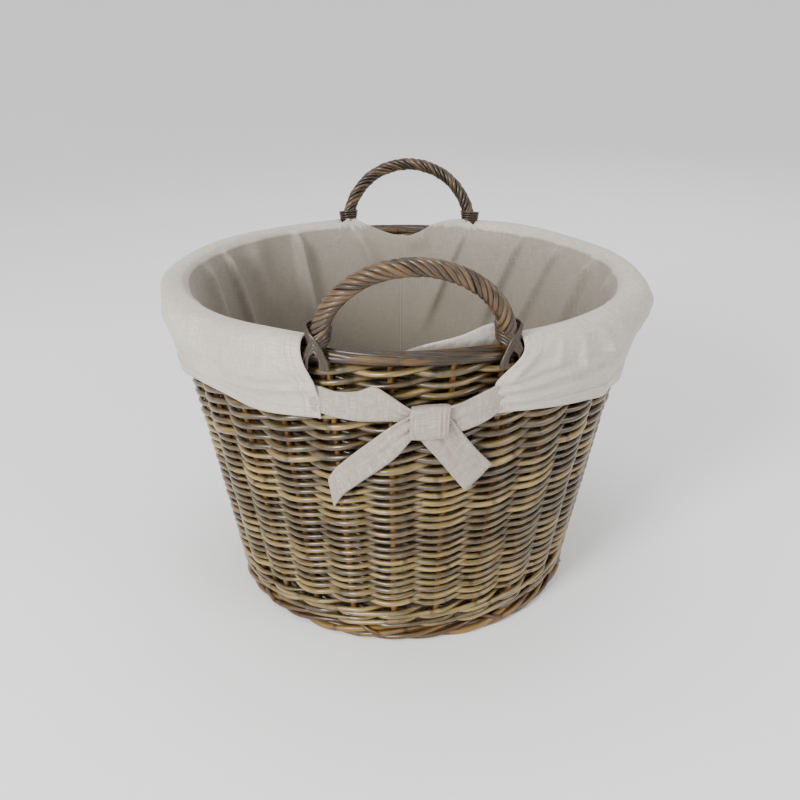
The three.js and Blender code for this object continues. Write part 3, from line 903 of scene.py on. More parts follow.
def settle(piece: bpy.types.Object, nodes: list[str]) -> bpy.types.Object:
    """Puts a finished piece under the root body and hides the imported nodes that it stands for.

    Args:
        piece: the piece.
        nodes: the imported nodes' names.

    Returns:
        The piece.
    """
    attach(piece, "root")
    if nodes:
        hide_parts(*nodes)
    LOG.info("%s: %d faces, stands for %d", piece.name, len(piece.data.polygons), len(nodes))
    return piece


# ---------------------------------------------------------------- willow


@dataclass(frozen=True)
class WovenBand:
    """One band of weaving: its rods, and how they pass the stakes."""

    name: str
    node: str
    bottom: float
    rounds: float
    row_pitch: float
    rod_radius: float
    depth: float
    rods: int = 2
    front_stakes: float = 1.0
    turn_in: float = 0.46
    rise: float = 0.0
    rod_stakes: float = 20.0
    steps: int = 8
    wander: float = 1.2 * MM
    seed: int = 1


@dataclass
class Basketwork:
    """The stakes and everything that is woven round them."""

    wall: Wall
    effects: Effects
    base_stick_radius: float = 4.5 * MM
    base_thin_radius: float = 3 * MM
    foot_radius: float = 3.1 * MM
    border_rod_radius: float = 3.1 * MM
    bend_radius: float = 9 * MM
    socket_depth: float = 18 * MM
    socket_gap: float = 2 * MM
    base_eye: float = 27 * MM
    base_row_pitch: float = 8 * MM
    crossing_reach: float = 40 * MM
    foot_half_width: float = 8.5 * MM
    cut_ends: int = 9
    # a cut end's stations, as (radians ahead, millimetres out, height in millimetres)
    cut_end_stations: tuple = ((-0.10, -2, 17), (-0.02, 6.5, 13.5), (0.05, 7.5, 8))

    def bands(self) -> list[WovenBand]:
        """The three bands of the wall.

        Returns:
            The bands, from the waling up to the border.
        """
        waling = WovenBand("waling", "upsett_waling", 18.5 * MM, 2.3, 12.9 * MM, 2.4 * MM, 5.4 * MM,
                           rods=3, front_stakes=2.0, turn_in=0.4, rise=4.2 * MM, rod_stakes=32.0,
                           wander=3.0 * MM, seed=3)
        fine = WovenBand("wall_weaving_fine", "wall_weave_fine", 49.2 * MM, 18.0, 9.56 * MM, 2.65 * MM,
                         5.6 * MM, rise=1.9 * MM, wander=1.9 * MM, seed=11)
        thick = WovenBand("wall_weaving_thick", "wall_weave_thick", 219.5 * MM, 10.0, 11.7 * MM, 3.25 * MM,
                          6.2 * MM, rise=2.5 * MM, steps=10, wander=2.2 * MM, seed=23)
        return [waling, fine, thick]

    def build_wall(self, recipe: Recipe) -> None:
        """Weaves the wall.

        Args:
            recipe: the twining.
        """
        finish = WEAVE_FINISH.material(self.effects)
        for band in self.bands():
            piece = recipe.run(band.name, finish, {
                "Rods": band.rods, "Stakes": self.wall.stakes, "Steps": band.steps,
                "Rounds": band.rounds, "Phase": self.wall.first_stake + math.pi,
                "Start Radius": self.wall.radius(band.bottom), "Start Height": band.bottom,
                "Lean": self.wall.lean, "Row Pitch": band.row_pitch,
                "Front Stakes": band.front_stakes, "Turn In": band.turn_in,
                "Depth": band.depth, "Rise": band.rise, "Rod Radius": band.rod_radius,
                "Taper": 0.26, "Stakes For Each Rod": band.rod_stakes,
                "Wander": band.wander, "Seed": band.seed,
            })
            settle(piece, [band.node])

    def build_base(self, twining: Recipe, rods: Recipe) -> None:
        """Weaves the round base on its cross of sticks.

        Args:
            twining: the weaving.
            rods: the sticks.
        """
        low, high = node_box("base_weave")
        eye, pitch = self.base_eye, self.base_row_pitch
        middle = (low.z + high.z) / 2
        piece = twining.run("base_weaving", WEAVE_FINISH.material(self.effects), {
            "Rods": 2, "Stakes": self.wall.stakes // 2, "Steps": 8,
            "Rounds": (high.x - eye) / pitch - 0.5,
            "Phase": self.wall.first_stake + math.pi / self.wall.stakes,
            "Start Radius": eye, "Start Height": middle, "Lean": 0.0, "Row Pitch": pitch,
            "Front Stakes": 1.0, "Turn In": 0.5, "Depth": 5.3 * MM, "Rise": 1.8 * MM,
            "Rod Radius": 1.9 * MM, "Taper": 0.2, "Stakes For Each Rod": 12.0,
            "Wander": 0.8 * MM, "Seed": 5,
        })
        settle(piece, ["base_weave"])
        for group, radius in (("slit", self.base_stick_radius), ("through", self.base_thin_radius)):
            names = sorted(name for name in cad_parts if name.startswith(f"base_stick_{group}"))
            lines = [self.stick_line(name) for name in names]
            sizes = {"Rod Radius": radius, "Taper": 0.12, "Step": 5 * MM, "Wander": 0.8 * MM, "Seed": 2}
            finish = STAKE_FINISH.material(self.effects)
            piece = rods.run(f"base_sticks_{group}", finish, sizes, line_mesh("sticks", lines))
            settle(piece, names)

    def stick_line(self, name: str) -> list[Vector]:
        """The line along a packed base stick, from end to end.

        Args:
            name: the stick's node.

        Returns:
            The line: one end, the two sides of the crossing, the other end.
        """
        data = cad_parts[name].data
        spots = np.empty(len(data.vertices) * 3)
        data.vertices.foreach_get("co", spots)
        spots = spots.reshape(-1, 3)
        height = (spots[:, 2].max() + spots[:, 2].min()) / 2
        flat = spots[:, :2]
        way = np.linalg.svd(flat - flat.mean(0), full_matrices=False)[2][0]
        along = flat @ way
        inner = np.abs(along) < self.crossing_reach
        bend = np.abs(along[inner]).max()
        stations = [along.min(), -bend, bend, along.max()]
        line = []
        for station in stations:
            near = np.abs(along - station) < 5 * MM
            spot = flat[near].mean(0)
            line.append(Vector((spot[0], spot[1], height)))
        return line

    def stake_line(self, angle: float) -> list[Vector]:
        """The line of one stake: out of the base, round the bend and up into the border.

        Args:
            angle: where it stands, from the front towards +X.

        Returns:
            The line.
        """
        low, high = node_box("base_weave")
        middle, edge = (low.z + high.z) / 2, high.x + self.socket_gap
        outline = [(edge - self.socket_depth, middle)]
        steps = 6
        for i in range(steps + 1):
            turn = self.wall.lean * i / steps
            across, up = math.sin(turn), 1 - math.cos(turn)
            outline.append((edge + self.bend_radius * across, middle + self.bend_radius * up))
        top = node_box("wall_weave_thick")[1].z
        outline.append((self.wall.radius(top), top))
        return [Vector((r * math.sin(angle), -r * math.cos(angle), z)) for r, z in outline]

    def build_stakes(self, recipe: Recipe) -> None:
        """Sets up the stakes.

        Args:
            recipe: the rods.
        """
        count = self.wall.stakes
        lines = [self.stake_line(self.wall.first_stake + FULL_TURN * i / count) for i in range(count)]
        sizes = {"Rod Radius": self.wall.stake_radius, "Taper": 0.1, "Step": 6 * MM,
                 "Wander": 0.9 * MM, "Seed": 4}
        finish = STAKE_FINISH.material(self.effects)
        piece = recipe.run("stakes", finish, sizes, line_mesh("stake_lines", lines))
        settle(piece, sorted(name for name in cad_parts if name.startswith("stake_")))

    def ring(self, radius: float, height: float) -> bpy.types.Mesh:
        """A circle round the basket for a rope to follow.

        Args:
            radius: its radius.
            height: its height.

        Returns:
            The mesh of edges.
        """
        corners = 180
        turns = [FULL_TURN * i / corners for i in range(corners)]
        circle = [Vector((radius * math.sin(a), -radius * math.cos(a), height)) for a in turns]
        return line_mesh("ring", [circle], closed=True)

    def build_edges(self, rope: Recipe, rods: Recipe) -> None:
        """Lays down the border and the foot.

        Args:
            rope: the strands laid round a ring.
            rods: the cut ends under the foot.
        """
        names = [f"border_rod_{row}" for row in ("outer_low", "outer_high", "inner_low", "inner_high")]
        boxes = [node_box(name) for name in names]
        outer = max(high.x for _, high in boxes)
        inner = node_box("border_rod_inner_low")[1].x - 2 * self.border_rod_radius
        low, high = min(low.z for low, _ in boxes), self.wall.rim
        finish = BORDER_FINISH.material(self.effects)
        sizes = {
            "Strands": 7, "Steps": 560, "Turns": 4.0, "Uneven": 0.5, "Wander": 0.9, "Seed": 6,
            "Strand Radius": self.border_rod_radius, "Core Radius": 4.5 * MM,
            "Lay Out": (outer - inner) / 2 - self.border_rod_radius,
            "Lay Up": (high - low) / 2 - self.border_rod_radius,
        }
        piece = rope.run("border", finish, sizes, self.ring((outer + inner) / 2, (low + high) / 2))
        settle(piece, names)
        low, high = node_box("foot_border")
        reach = high.x - self.foot_half_width
        sizes = {
            "Strands": 4, "Steps": 560, "Turns": -8.0, "Uneven": 0.3, "Wander": 0.5, "Seed": 9,
            "Strand Radius": self.foot_radius, "Core Radius": 3.5 * MM,
            "Lay Out": self.foot_half_width - self.foot_radius,
            "Lay Up": high.z / 2 - self.foot_radius,
        }
        finish = FOOT_FINISH.material(self.effects)
        piece = rope.run("foot", finish, sizes, self.ring(reach, high.z / 2))
        settle(piece, ["foot_border"])
        sizes = {"Rod Radius": 2.5 * MM, "Taper": 0.1, "Step": 4 * MM, "Wander": 0.6 * MM, "Seed": 8}
        lines = [self.cut_end(reach, FULL_TURN * (i + 0.5) / self.cut_ends) for i in range(self.cut_ends)]
        piece = rods.run("foot_cut_ends", finish, sizes, line_mesh("cut_ends", lines))
        settle(piece, [])

    def cut_end(self, reach: float, turn: float) -> list[Vector]:
        """The line of one rod's end where it comes out over the foot and is cut.

        Args:
            reach: the radius of the foot's middle.
            turn: how far round the basket it lies.

        Returns:
            The line.
        """
        line = []
        for ahead, out, height in self.cut_end_stations:
            angle = self.wall.first_stake + turn + ahead
            radius = reach + out * MM
            line.append(Vector((radius * math.sin(angle), -radius * math.cos(angle), height * MM)))
        return line


@dataclass
class Handle:
    """One roped handle, with its legs in the wall and the strands crossed at its feet."""

    wall: Wall
    side: Side
    effects: Effects
    rope_radius: float = 8 * MM
    strand_radius: float = 2.3 * MM
    leg_depth: float = 86 * MM
    leg_gap: float = 8 * MM
    foot_rise: float = 3.5 * MM
    lean: float = 30 * MM
    arch_steps: int = 48
    drawn_in: float = 0.36
    binding_strands: int = 5
    binding_pitch: float = 3.1 * MM
    # one binding strand round the leg, as (millimetres beside, outward, up) from the rope's foot
    binding_line: tuple = ((-6.5, 13, -19), (-6, 12.8, -10), (-2.5, 12.5, 0), (5, 9.5, 7), (9.6, 1, 10),
                           (5, -8.6, 12), (-5, -8.6, 12), (-9.6, 1, 10), (-5, 9.5, 7), (2.5, 12.5, 0),
                           (6, 12.8, -10), (6.5, 13, -19))

    @property
    def feet(self) -> tuple[Vector, Vector]:
        """The middles of the rope's two feet.

        Returns:
            The left foot and the right foot, by X.
        """
        low, high = node_box(f"{self.side.word}_handle")
        height = self.wall.rim + self.foot_rise
        radius = self.wall.radius(height)
        places = []
        for x in (low.x + self.rope_radius, high.x - self.rope_radius):
            places.append(self.wall.point(self.side, math.asin(x / radius), height))
        return places[0], places[1]

    def arch_point(self, share: float) -> Vector:
        """A point of the rope's middle.

        Args:
            share: from the left foot at 0 to the right foot at 1.

        Returns:
            The point.
        """
        left, right = self.feet
        top = node_box(f"{self.side.word}_handle")[1].z - self.rope_radius
        turn = math.pi * share
        point = left.lerp(right, (1 - math.cos(turn)) / 2)
        point.y += self.side.value * self.lean * math.sin(turn)
        point.z += (top - left.z) * math.sin(turn)
        return point

    def leg(self, foot: Vector) -> list[Vector]:
        """The points of a leg, from its tip in the wall up to below the foot.

        Args:
            foot: the rope's foot.

        Returns:
            The points.
        """
        angle = math.atan2(foot.x, abs(foot.y))
        tip = self.wall.rim - self.leg_depth
        steps = 6
        heights = [tip + (foot.z - self.leg_gap - tip) * i / steps for i in range(steps + 1)]
        return [self.wall.point(self.side, angle, height) for height in heights]

    def build(self, rope: Recipe, rods: Recipe) -> None:
        """Makes the handle and its two bindings.

        Args:
            rope: the laid strands.
            rods: the binding strands.
        """
        left, right = self.feet
        arch = [self.arch_point(i / self.arch_steps) for i in range(self.arch_steps + 1)]
        legs = self.leg(left), self.leg(right)
        path = [*legs[0], *arch, *reversed(legs[1])]
        spread = [self.drawn_in] * len(legs[0]) + [1.0] * len(arch) + [self.drawn_in] * len(legs[1])
        word = self.side.word
        finish = HANDLE_FINISH.material(self.effects)
        lay = self.rope_radius - self.strand_radius
        sizes = {
            "Strands": 7, "Steps": 300, "Turns": 8.2, "Uneven": 0.3, "Wander": 0.45,
            "Seed": 12 + self.side.value,
            "Strand Radius": self.strand_radius, "Core Radius": 4 * MM, "Lay Out": lay, "Lay Up": lay,
        }
        path_mesh = line_mesh("handle_path", [path], spread=spread)
        piece = rope.run(f"{word}_handle_rope", finish, sizes, path_mesh)
        settle(piece, [f"{word}_handle"])
        for end, foot in (("left", left), ("right", right)):
            sizes = {"Rod Radius": 1.55 * MM, "Taper": 0.35, "Step": 2.5 * MM,
                     "Wander": 1.6 * MM, "Seed": 31}
            lines = [self.crossing(foot, number) for number in range(self.binding_strands)]
            path_mesh = line_mesh("binding_lines", lines)
            piece = rods.run(f"{word}_handle_strands_{end}", finish, sizes, path_mesh)
            settle(piece, [f"{word}_handle_binding_{end}"])

    def crossing(self, foot: Vector, number: int) -> list[Vector]:
        """One binding strand: up over the border, crossed round the leg, and down again.

        Args:
            foot: the rope's foot.
            number: which strand, each a little above and beside the last.

        Returns:
            The strand's line.
        """
        mirror = 1 if number % 2 else -1
        lift = (number - self.binding_strands // 2) * self.binding_pitch
        wide = 1 + 0.05 * number
        line = smooth_points(np.array(self.binding_line) * MM, 60)
        out = Vector((foot.x, foot.y, 0)).normalized()
        beside = Vector((-out.y, out.x, 0)) * mirror
        made = []
        for sideways, outward, up in line:
            shift = lift * float(smooth_between(-12 * MM, 6 * MM, up))
            fan = 1 + 0.16 * number * float(smooth_between(2 * MM, -16 * MM, up))
            made.append(foot + beside * sideways * wide * fan + out * outward + Vector((0, 0, up + shift)))
        return made


# ---------------------------------------------------------------- cotton


@dataclass(frozen=True)
class Fold:
    """A crease or a soft ridge in a sheet, between two places on the wall.

    Angles are in degrees from the front towards +X, and heights in millimetres.
    """

    start: tuple[float, float]
    end: tuple[float, float]
    width: float
    height: float
    end_width: float = 0.0
    sharp: float = 0.0

    def lift(self, angle: np.ndarray, height: np.ndarray, radius: float) -> np.ndarray:
        """How far the fold stands out at each place.

        Args:
            angle: places round the wall, in degrees.
            height: their heights, in metres.
            radius: the wall's radius, which turns angles into lengths.

        Returns:
            The lift, in metres.
        """
        per_degree = math.radians(1) * radius
        along = np.array([(self.end[0] - self.start[0]) * per_degree, (self.end[1] - self.start[1]) * MM])
        length = np.linalg.norm(along)
        turned = (angle - self.start[0] + 180) % 360 - 180
        x, z = turned * per_degree, height - self.start[1] * MM
        share = (x * along[0] + z * along[1]) / length**2
        off = (x * along[1] - z * along[0]) / length
        reach = (self.width + (max(self.end_width, self.width) - self.width) * np.clip(share, 0, 1)) * MM
        ridge = np.exp(-((off / reach) ** 2))
        if self.sharp:
            steep = np.exp(-((off / (reach * 0.5)) ** 2))
            ridge = np.where(off * self.sharp > 0, steep, ridge)
        fade = smooth_between(-0.12, 0.1, share) * smooth_between(1.15, 0.6, share)
        return self.height * MM * ridge * fade


def ripples(u: np.ndarray, v: np.ndarray, seed: int, waves: int = 9) -> np.ndarray:
    """Soft uneven waves from sines of chosen lengths and seeded directions.

    Args:
        u: places one way, in metres.
        v: places the other way, in metres.
        seed: the seed.
        waves: how many sines are added.

    Returns:
        Heights around zero, mostly within one.
    """
    chance = np.random.default_rng(seed)
    total = np.zeros(np.broadcast(u, v).shape)
    for _ in range(waves):
        wave = chance.uniform(14, 60)
        lean = chance.normal(0, 0.5)
        total += np.sin(wave * (u * math.cos(lean) + v * math.sin(lean)) + chance.uniform(0, FULL_TURN))
    return total / math.sqrt(waves)


@dataclass
class Sheet:
    """Builds one piece of cloth from a grid of places."""

    name: str
    thickness: float
    finishes: list[bpy.types.Material]

    def build(self, places: np.ndarray, cut: np.ndarray, kept: np.ndarray | None = None,
              closed: bool = False, plain_from: int = 0,
              inside: np.ndarray | None = None) -> bpy.types.Object:
        """Makes the sheet, with its finished side along its face normals.

        Args:
            places: rows of columns of points.
            cut: the same grid on the flat cloth, in metres.
            kept: which cells stay, or None for all.
            closed: whether the last column joins the first.
            plain_from: the first row whose hidden side takes the last finish too.
            inside: how much painted shade each place takes for lying in the hollow of the basket, from 0 to
                1, or None for 0.

        Returns:
            The piece, thickened on its hidden side.
        """
        rows, columns = places.shape[:2]
        wide = columns if closed else columns - 1
        faces, spots, plain = [], [], []
        for i in range(rows - 1):
            for j in range(wide):
                if kept is not None and not kept[i, j]:
                    continue
                after = (j + 1) % columns
                plain.append(len(self.finishes) - 1 if i >= plain_from else 0)
                first, below = i * columns, (i + 1) * columns
                faces.append((first + j, below + j, below + after, first + after))
                step = cut[i, j, 0] + (cut[i, 1, 0] - cut[i, 0, 0]) if after == 0 else cut[i, after, 0]
                far_spots = (step, cut[i + 1, after, 1]), (step, cut[i, after, 1])
                spots.extend((cut[i, j], cut[i + 1, j], *far_spots))
        mesh = bpy.data.meshes.new(self.name)
        mesh.from_pydata(places.reshape(-1, 3).tolist(), [], faces)
        mesh.uv_layers.new(name="Cut").data.foreach_set("uv", np.array(spots, dtype=np.float32).ravel())
        depth = np.zeros(rows * columns) if inside is None else inside.ravel()
        mesh.attributes.new("inside", "FLOAT", "POINT").data.foreach_set("value", depth.astype(np.float32))
        used = {corner for face in faces for corner in face}
        if len(used) < len(mesh.vertices):
            self.drop_loose(mesh)
        mesh.polygons.foreach_set("use_smooth", [True] * len(mesh.polygons))
        for finish in self.finishes:
            mesh.materials.append(finish)
        mesh.polygons.foreach_set("material_index", plain)
        piece = bpy.data.objects.new(self.name, mesh)
        bpy.context.collection.objects.link(piece)
        thick = piece.modifiers.new("thickness", "SOLIDIFY")
        thick.thickness = self.thickness
        thick.offset = -1.0
        thick.material_offset = 1 if len(self.finishes) > 1 else 0
        return piece

    def drop_loose(self, mesh: bpy.types.Mesh) -> None:
        """Removes the points that no face uses.

        Args:
            mesh: the mesh.
        """
        work = bmesh.new()
        work.from_mesh(mesh)
        bmesh.ops.delete(work, geom=[v for v in work.verts if not v.link_faces], context="VERTS")
        work.to_mesh(mesh)
        work.free()


@dataclass
class Lining:
    """The cotton lining: a floor, and a side panel that turns over the border as two flaps."""

    wall: Wall
    effects: Effects
    cloth: float = 1.0 * MM
    columns: int = 540
    inside_rows: int = 46
    arch_rows: int = 14
    flap_rows: int = 26
    inside_out: float = -12.6 * MM
    shoulder: float = 335 * MM
    left_edge: float = -17.4
    right_edge: float = 22.4
    hem_turn: float = 14 * MM
    seam_place: float = 180.0
    seam_height: float = 1.2 * MM
    rim_rise: float = 3.0 * MM
    inside_slack: float = 1.6 * MM
    inside_gather: float = 1.7
    neck_lean: float = 1.8 * MM
    rim_wobble: float = 2.1 * MM
    hem_wobble: float = 0.8 * MM
    hem_out: float = 12.6 * MM
    hem_slack: float = 1.3 * MM
    flap_slack: float = 1.3 * MM
    flap_gather: float = 1.8
    hem_thickness: float = 0.9 * MM
    # how far below the rim the painted shade inside the basket grows to its full strength
    inside_shade_depth: float = 110 * MM
    left_reach: float = 22.0
    right_reach: float = 26.0

    # heights of the hem round the basket, as (degrees, millimetres)
    hem_line: tuple = ((-180, 279), (-163, 280), (-140, 272), (-115, 263), (-90, 258), (-70, 271),
                       (-54, 280), (-33, 278), (-17, 280), (19, 284), (30, 281), (45, 271), (55, 261),
                       (71, 250), (90, 240), (115, 249), (140, 265), (158, 280), (180, 279))
    # top edge of the cloth between the legs, as (degrees, millimetres)
    front_neck: tuple = ((-24, 352), (-17, 344), (-10, 334), (-2, 340), (4, 349), (12, 357), (19, 366),
                         (25, 354))
    back_neck: tuple = ((-24, 354), (-17, 361), (-12, 352), (-4, 339), (2, 337), (7, 344), (11, 353),
                        (19, 360), (25, 354))
    # section of the cloth over the border, as (millimetres out from the stakes, height)
    over_border: tuple = ((-12.4, 350.5), (-10, 354.2), (-5, 356.4), (2, 357.0), (9, 355.4), (15, 350.5),
                          (18.8, 343), (19.6, 335))
    # sideways pull of a flap's front edges, as (height in millimetres, degrees)
    left_pull: tuple = ((270, 0), (300, 0.2), (315, 0.0), (325, -0.5), (340, -1.5), (358, -2.6))
    right_pull: tuple = ((276, -2.2), (284, -2.6), (300, -3.6), (316, -4.2), (330, -2.2), (345, 0.4),
                         (358, 1.2))

    inside_folds: tuple = (
        Fold((137, 356), (150, 215), 7, 7.5, 16, 1.0), Fold((158, 350), (172, 215), 6, 6.5, 15, 1.0),
        Fold((122, 352), (140, 190), 9, 6.5, 20, 1.0), Fold((104, 350), (118, 200), 9, 8, 22, 1.0),
        Fold((88, 350), (100, 220), 12, 5, 24), Fold((-143, 354), (-147, 200), 7, 8, 22, -1.0),
        Fold((-112, 350), (-119, 220), 7, 6, 16, -1.0), Fold((-100, 346), (-104, 250), 9, 5, 16),
        Fold((-163, 356), (-172, 280), 8, 6, 18, -1.0), Fold((-126, 350), (-132, 230), 14, 4, 24),
        Fold((60, 350), (66, 200), 11, 6, 20), Fold((-60, 350), (-66, 200), 12, 6, 22),
        Fold((35, 350), (38, 220), 9, 6, 18), Fold((-38, 350), (-36, 220), 9, 6, 18),
        Fold((172, 340), (180, 330), 16, 3),
    )
    flap_folds: tuple = (
        Fold((-22, 354), (-23, 322), 3.2, 4.6, 4.0, 1.0), Fold((-27, 354), (-31, 318), 4.0, 3.6, 7, -1.0),
        Fold((-34, 354), (-40, 308), 5.0, 3.2, 9, 1.0), Fold((-19, 312), (-44, 300), 4.5, 2.6, 9, 1.0),
        Fold((-20, 330), (-52, 292), 9, 2.6, 15), Fold((-28, 322), (-70, 330), 10, 3.0, 18),
        Fold((-45, 346), (-52, 318), 5, 2.4, 10, 1.0), Fold((-66, 350), (-75, 315), 6, 3.2, 14),
        Fold((-84, 350), (-88, 300), 8, 3.4, 14), Fold((-110, 350), (-116, 300), 7, 3.6, 14),
        Fold((-138, 350), (-141, 310), 6, 3.4, 12), Fold((-158, 350), (-156, 322), 3, 4, 5),
        Fold((26.5, 356), (25.0, 318), 3.2, 5.0, 5, -1.0), Fold((31, 356), (32.5, 324), 3.0, 5.5, 5, 1.0),
        Fold((36, 356), (40, 320), 3.4, 5.0, 6, 1.0), Fold((42, 354), (49, 316), 5, 3.6, 9, 1.0),
        Fold((25, 308), (62, 340), 4.5, 3.6, 9, -1.0), Fold((25, 297), (58, 306), 5, 2.8, 11, -1.0),
        Fold((25, 318), (40, 345), 4, 2.6, 8), Fold((58, 350), (66, 315), 6, 3.2, 12, 1.0),
        Fold((74, 352), (80, 300), 6, 4.2, 12), Fold((96, 350), (100, 290), 8, 3.8, 14),
        Fold((124, 350), (128, 300), 7, 3.6, 14), Fold((150, 352), (147, 318), 4, 4.2, 8),
        Fold((163, 350), (158, 325), 3, 4, 5),
    )

    def angles(self) -> np.ndarray:
        """Each column's angle from the front, in degrees, starting at the front-left leg."""
        return self.left_edge + np.arange(self.columns) * 360 / self.columns

    def wrap(self, angle: np.ndarray) -> np.ndarray:
        """Angles brought to between -180 and 180 degrees."""
        return (angle + 180) % 360 - 180

    def in_neck(self, angle: np.ndarray) -> np.ndarray:
        """Whether an angle lies between a handle's legs, front or back.

        Args:
            angle: places round the wall, in degrees.

        Returns:
            True for each place between two legs.
        """
        turned = self.wrap(angle)
        mirrored = np.where(np.abs(turned) > 90, self.wrap(180 - turned), turned)
        return (mirrored > self.left_edge) & (mirrored < self.right_edge)

    def top_edge(self, angle: np.ndarray) -> np.ndarray:
        """The height of the inside panel's top: the rim, or the free edge between two legs.

        Args:
            angle: places round the wall, in degrees.

        Returns:
            The heights.
        """
        turned = self.wrap(angle)
        front = np.abs(turned) <= 90
        mirrored = np.where(front, turned, self.wrap(180 - turned))
        front_edge, back_edge = (curve_value(line, mirrored) for line in (self.front_neck, self.back_neck))
        neck = np.where(front, front_edge, back_edge)
        outside = np.maximum(self.left_edge - mirrored, mirrored - self.right_edge)
        rim = self.wall.rim + self.rim_rise
        return np.where(outside > 0, rim + (neck * MM - rim) * smooth_between(6, 0, outside), neck * MM)

    def inside(self) -> tuple[np.ndarray, np.ndarray, np.ndarray]:
        """The inside panel.

        Returns:
            The rows of radii, heights and angles.
        """
        angle = self.angles()[None, :]
        share = np.linspace(0, 1, self.inside_rows)[:, None]
        foot = node_box("lining_side")[0].z
        height = foot + (self.top_edge(angle) - foot) * (1 - (1 - share) ** 1.25)
        u = np.radians(angle) * self.wall.radius(self.wall.rim)
        push = self.inside_slack * (1 + ripples(u, height * 0.45, 7)) + np.zeros_like(height)
        for fold in self.inside_folds:
            push = push + fold.lift(angle + 0 * height, height, self.wall.radius(self.wall.rim))
        push *= smooth_between(self.wall.rim + 10 * MM, self.wall.rim - 16 * MM, height) * 0.85 + 0.15
        push *= smooth_between(foot - 4 * MM, foot + 60 * MM, height)
        seam = self.seam_height * np.exp(-((self.wrap(angle - self.seam_place) * 4.2 / 1.1) ** 2))
        radius = self.wall.radius(height) + self.inside_out - self.inside_gather * np.maximum(push, 0) + seam
        edge = smooth_between(self.wall.rim - 26 * MM, self.wall.rim + 10 * MM, height)
        lean_out = np.where(self.in_neck(angle), self.neck_lean, 0.0) * edge
        return radius + lean_out, height, angle + 0 * height

    def flap(self) -> tuple[np.ndarray, np.ndarray, np.ndarray]:
        """The flap, from the inside of the rim over the border and down to the hem.

        Returns:
            The rows of radii, heights and angles.
        """
        angle = self.angles()[None, :]
        turned = self.wrap(angle)
        rim = self.wall.rim
        circle = self.wall.radius(rim)
        u = np.radians(angle) * circle
        puff = 1 + 0.26 * ripples(u, 0 * u, 17, 7)
        over = smooth_points(np.array(self.over_border), self.arch_rows + 1)[1:] * MM
        rise = np.linspace(0, 1, self.arch_rows)[:, None]
        wobble = self.rim_wobble * ripples(u, 0 * u, 29, 8)
        out_arch = over[:, :1] * (1 + (puff - 1) * smooth_between(0.3, 1, rise) * 0.5)
        high_arch = over[:, 1:] + wobble * np.sin(rise * math.pi)
        hem = curve_value(self.hem_line, turned) * MM + self.hem_wobble * ripples(u, 0 * u, 41, 6)
        down = np.linspace(0, 1, self.flap_rows + 1)[1:, None]
        height_flap = self.shoulder + (hem - self.shoulder) * down
        start = out_arch[-1:, :]
        hug = self.hem_out + self.hem_slack * ripples(u, 0 * u, 53, 8)
        out_flap = start + (hug - start) * (1 - (1 - down) ** 1.7)
        height = np.vstack([high_arch + 0 * angle, height_flap])
        out = np.vstack([out_arch + 0 * angle, out_flap])
        lift = self.flap_slack * ripples(u * 1.3, height * 0.5, 67, 12)
        for fold in self.flap_folds:
            lift = lift + fold.lift(angle + 0 * height, height, circle)
        front = smooth_between(0.15, 0.6, np.linspace(0, 1, len(height)))[:, None]
        turned_up = smooth_between(self.hem_turn + 1 * MM, self.hem_turn - 1.2 * MM, height - hem)
        doubled = self.hem_thickness * turned_up
        doubled = doubled * (np.arange(len(height))[:, None] > self.arch_rows)
        out = out + self.flap_gather * lift * front + doubled
        radius = self.wall.radius(np.minimum(height, rim + 2 * MM)) + out
        return radius, height, angle + self.edge_shift(turned, height)

    def edge_shift(self, turned: np.ndarray, height: np.ndarray) -> np.ndarray:
        """How far the flap is pulled sideways near its front edges, in degrees.

        Args:
            turned: angles from the front.
            height: heights.

        Returns:
            The shift.
        """
        mirrored = np.where(np.abs(turned) > 90, self.wrap(180 - turned), turned)
        way = np.where(np.abs(turned) > 90, -1, 1)
        left_pull = curve_value(self.left_pull, height / MM)
        right_pull = curve_value(self.right_pull, height / MM)
        near_left = smooth_between(self.left_reach, 0, self.left_edge - mirrored)
        near_left = near_left * (mirrored <= self.left_edge + 1)
        near_right = smooth_between(self.right_reach, 0, mirrored - self.right_edge)
        near_right = near_right * (mirrored >= self.right_edge - 1)
        return way * (left_pull * near_left + right_pull * near_right)

    def places(self) -> tuple[np.ndarray, np.ndarray]:
        """The whole side panel.

        Returns:
            Its points, and the same points on the flat cloth.
        """
        parts = [np.vstack(pair) for pair in zip(self.inside(), self.flap())]
        radius, height, angle = parts
        turn = np.radians(angle)
        points = np.stack([radius * np.sin(turn), -radius * np.cos(turn), height], axis=-1)
        step = np.linalg.norm(np.diff(points, axis=0), axis=-1).mean(axis=1)
        down = np.concatenate([[0], np.cumsum(step)])
        flat = np.empty(points.shape[:2] + (2,))
        flat[..., 0] = np.radians(self.angles())[None, :] * self.wall.radius(self.wall.rim)
        flat[..., 1] = down[:, None]
        return points, flat

    def build(self, stitches: Recipe) -> None:
        """Makes the side panel, the floor and their stitching.

        Args:
            stitches: the thread.
        """
        shaded = SHADED_FINISH.material(self.effects)
        cotton = LINING_FINISH.material(self.effects)
        finishes = [cotton, shaded, cotton]
        points, flat = self.places()
        angle = self.angles()
        kept = np.ones((len(points) - 1, self.columns), dtype=bool)
        step = 360 / self.columns
        middle = self.in_neck(angle + step / 2)
        kept[self.inside_rows - 1:, middle] = False
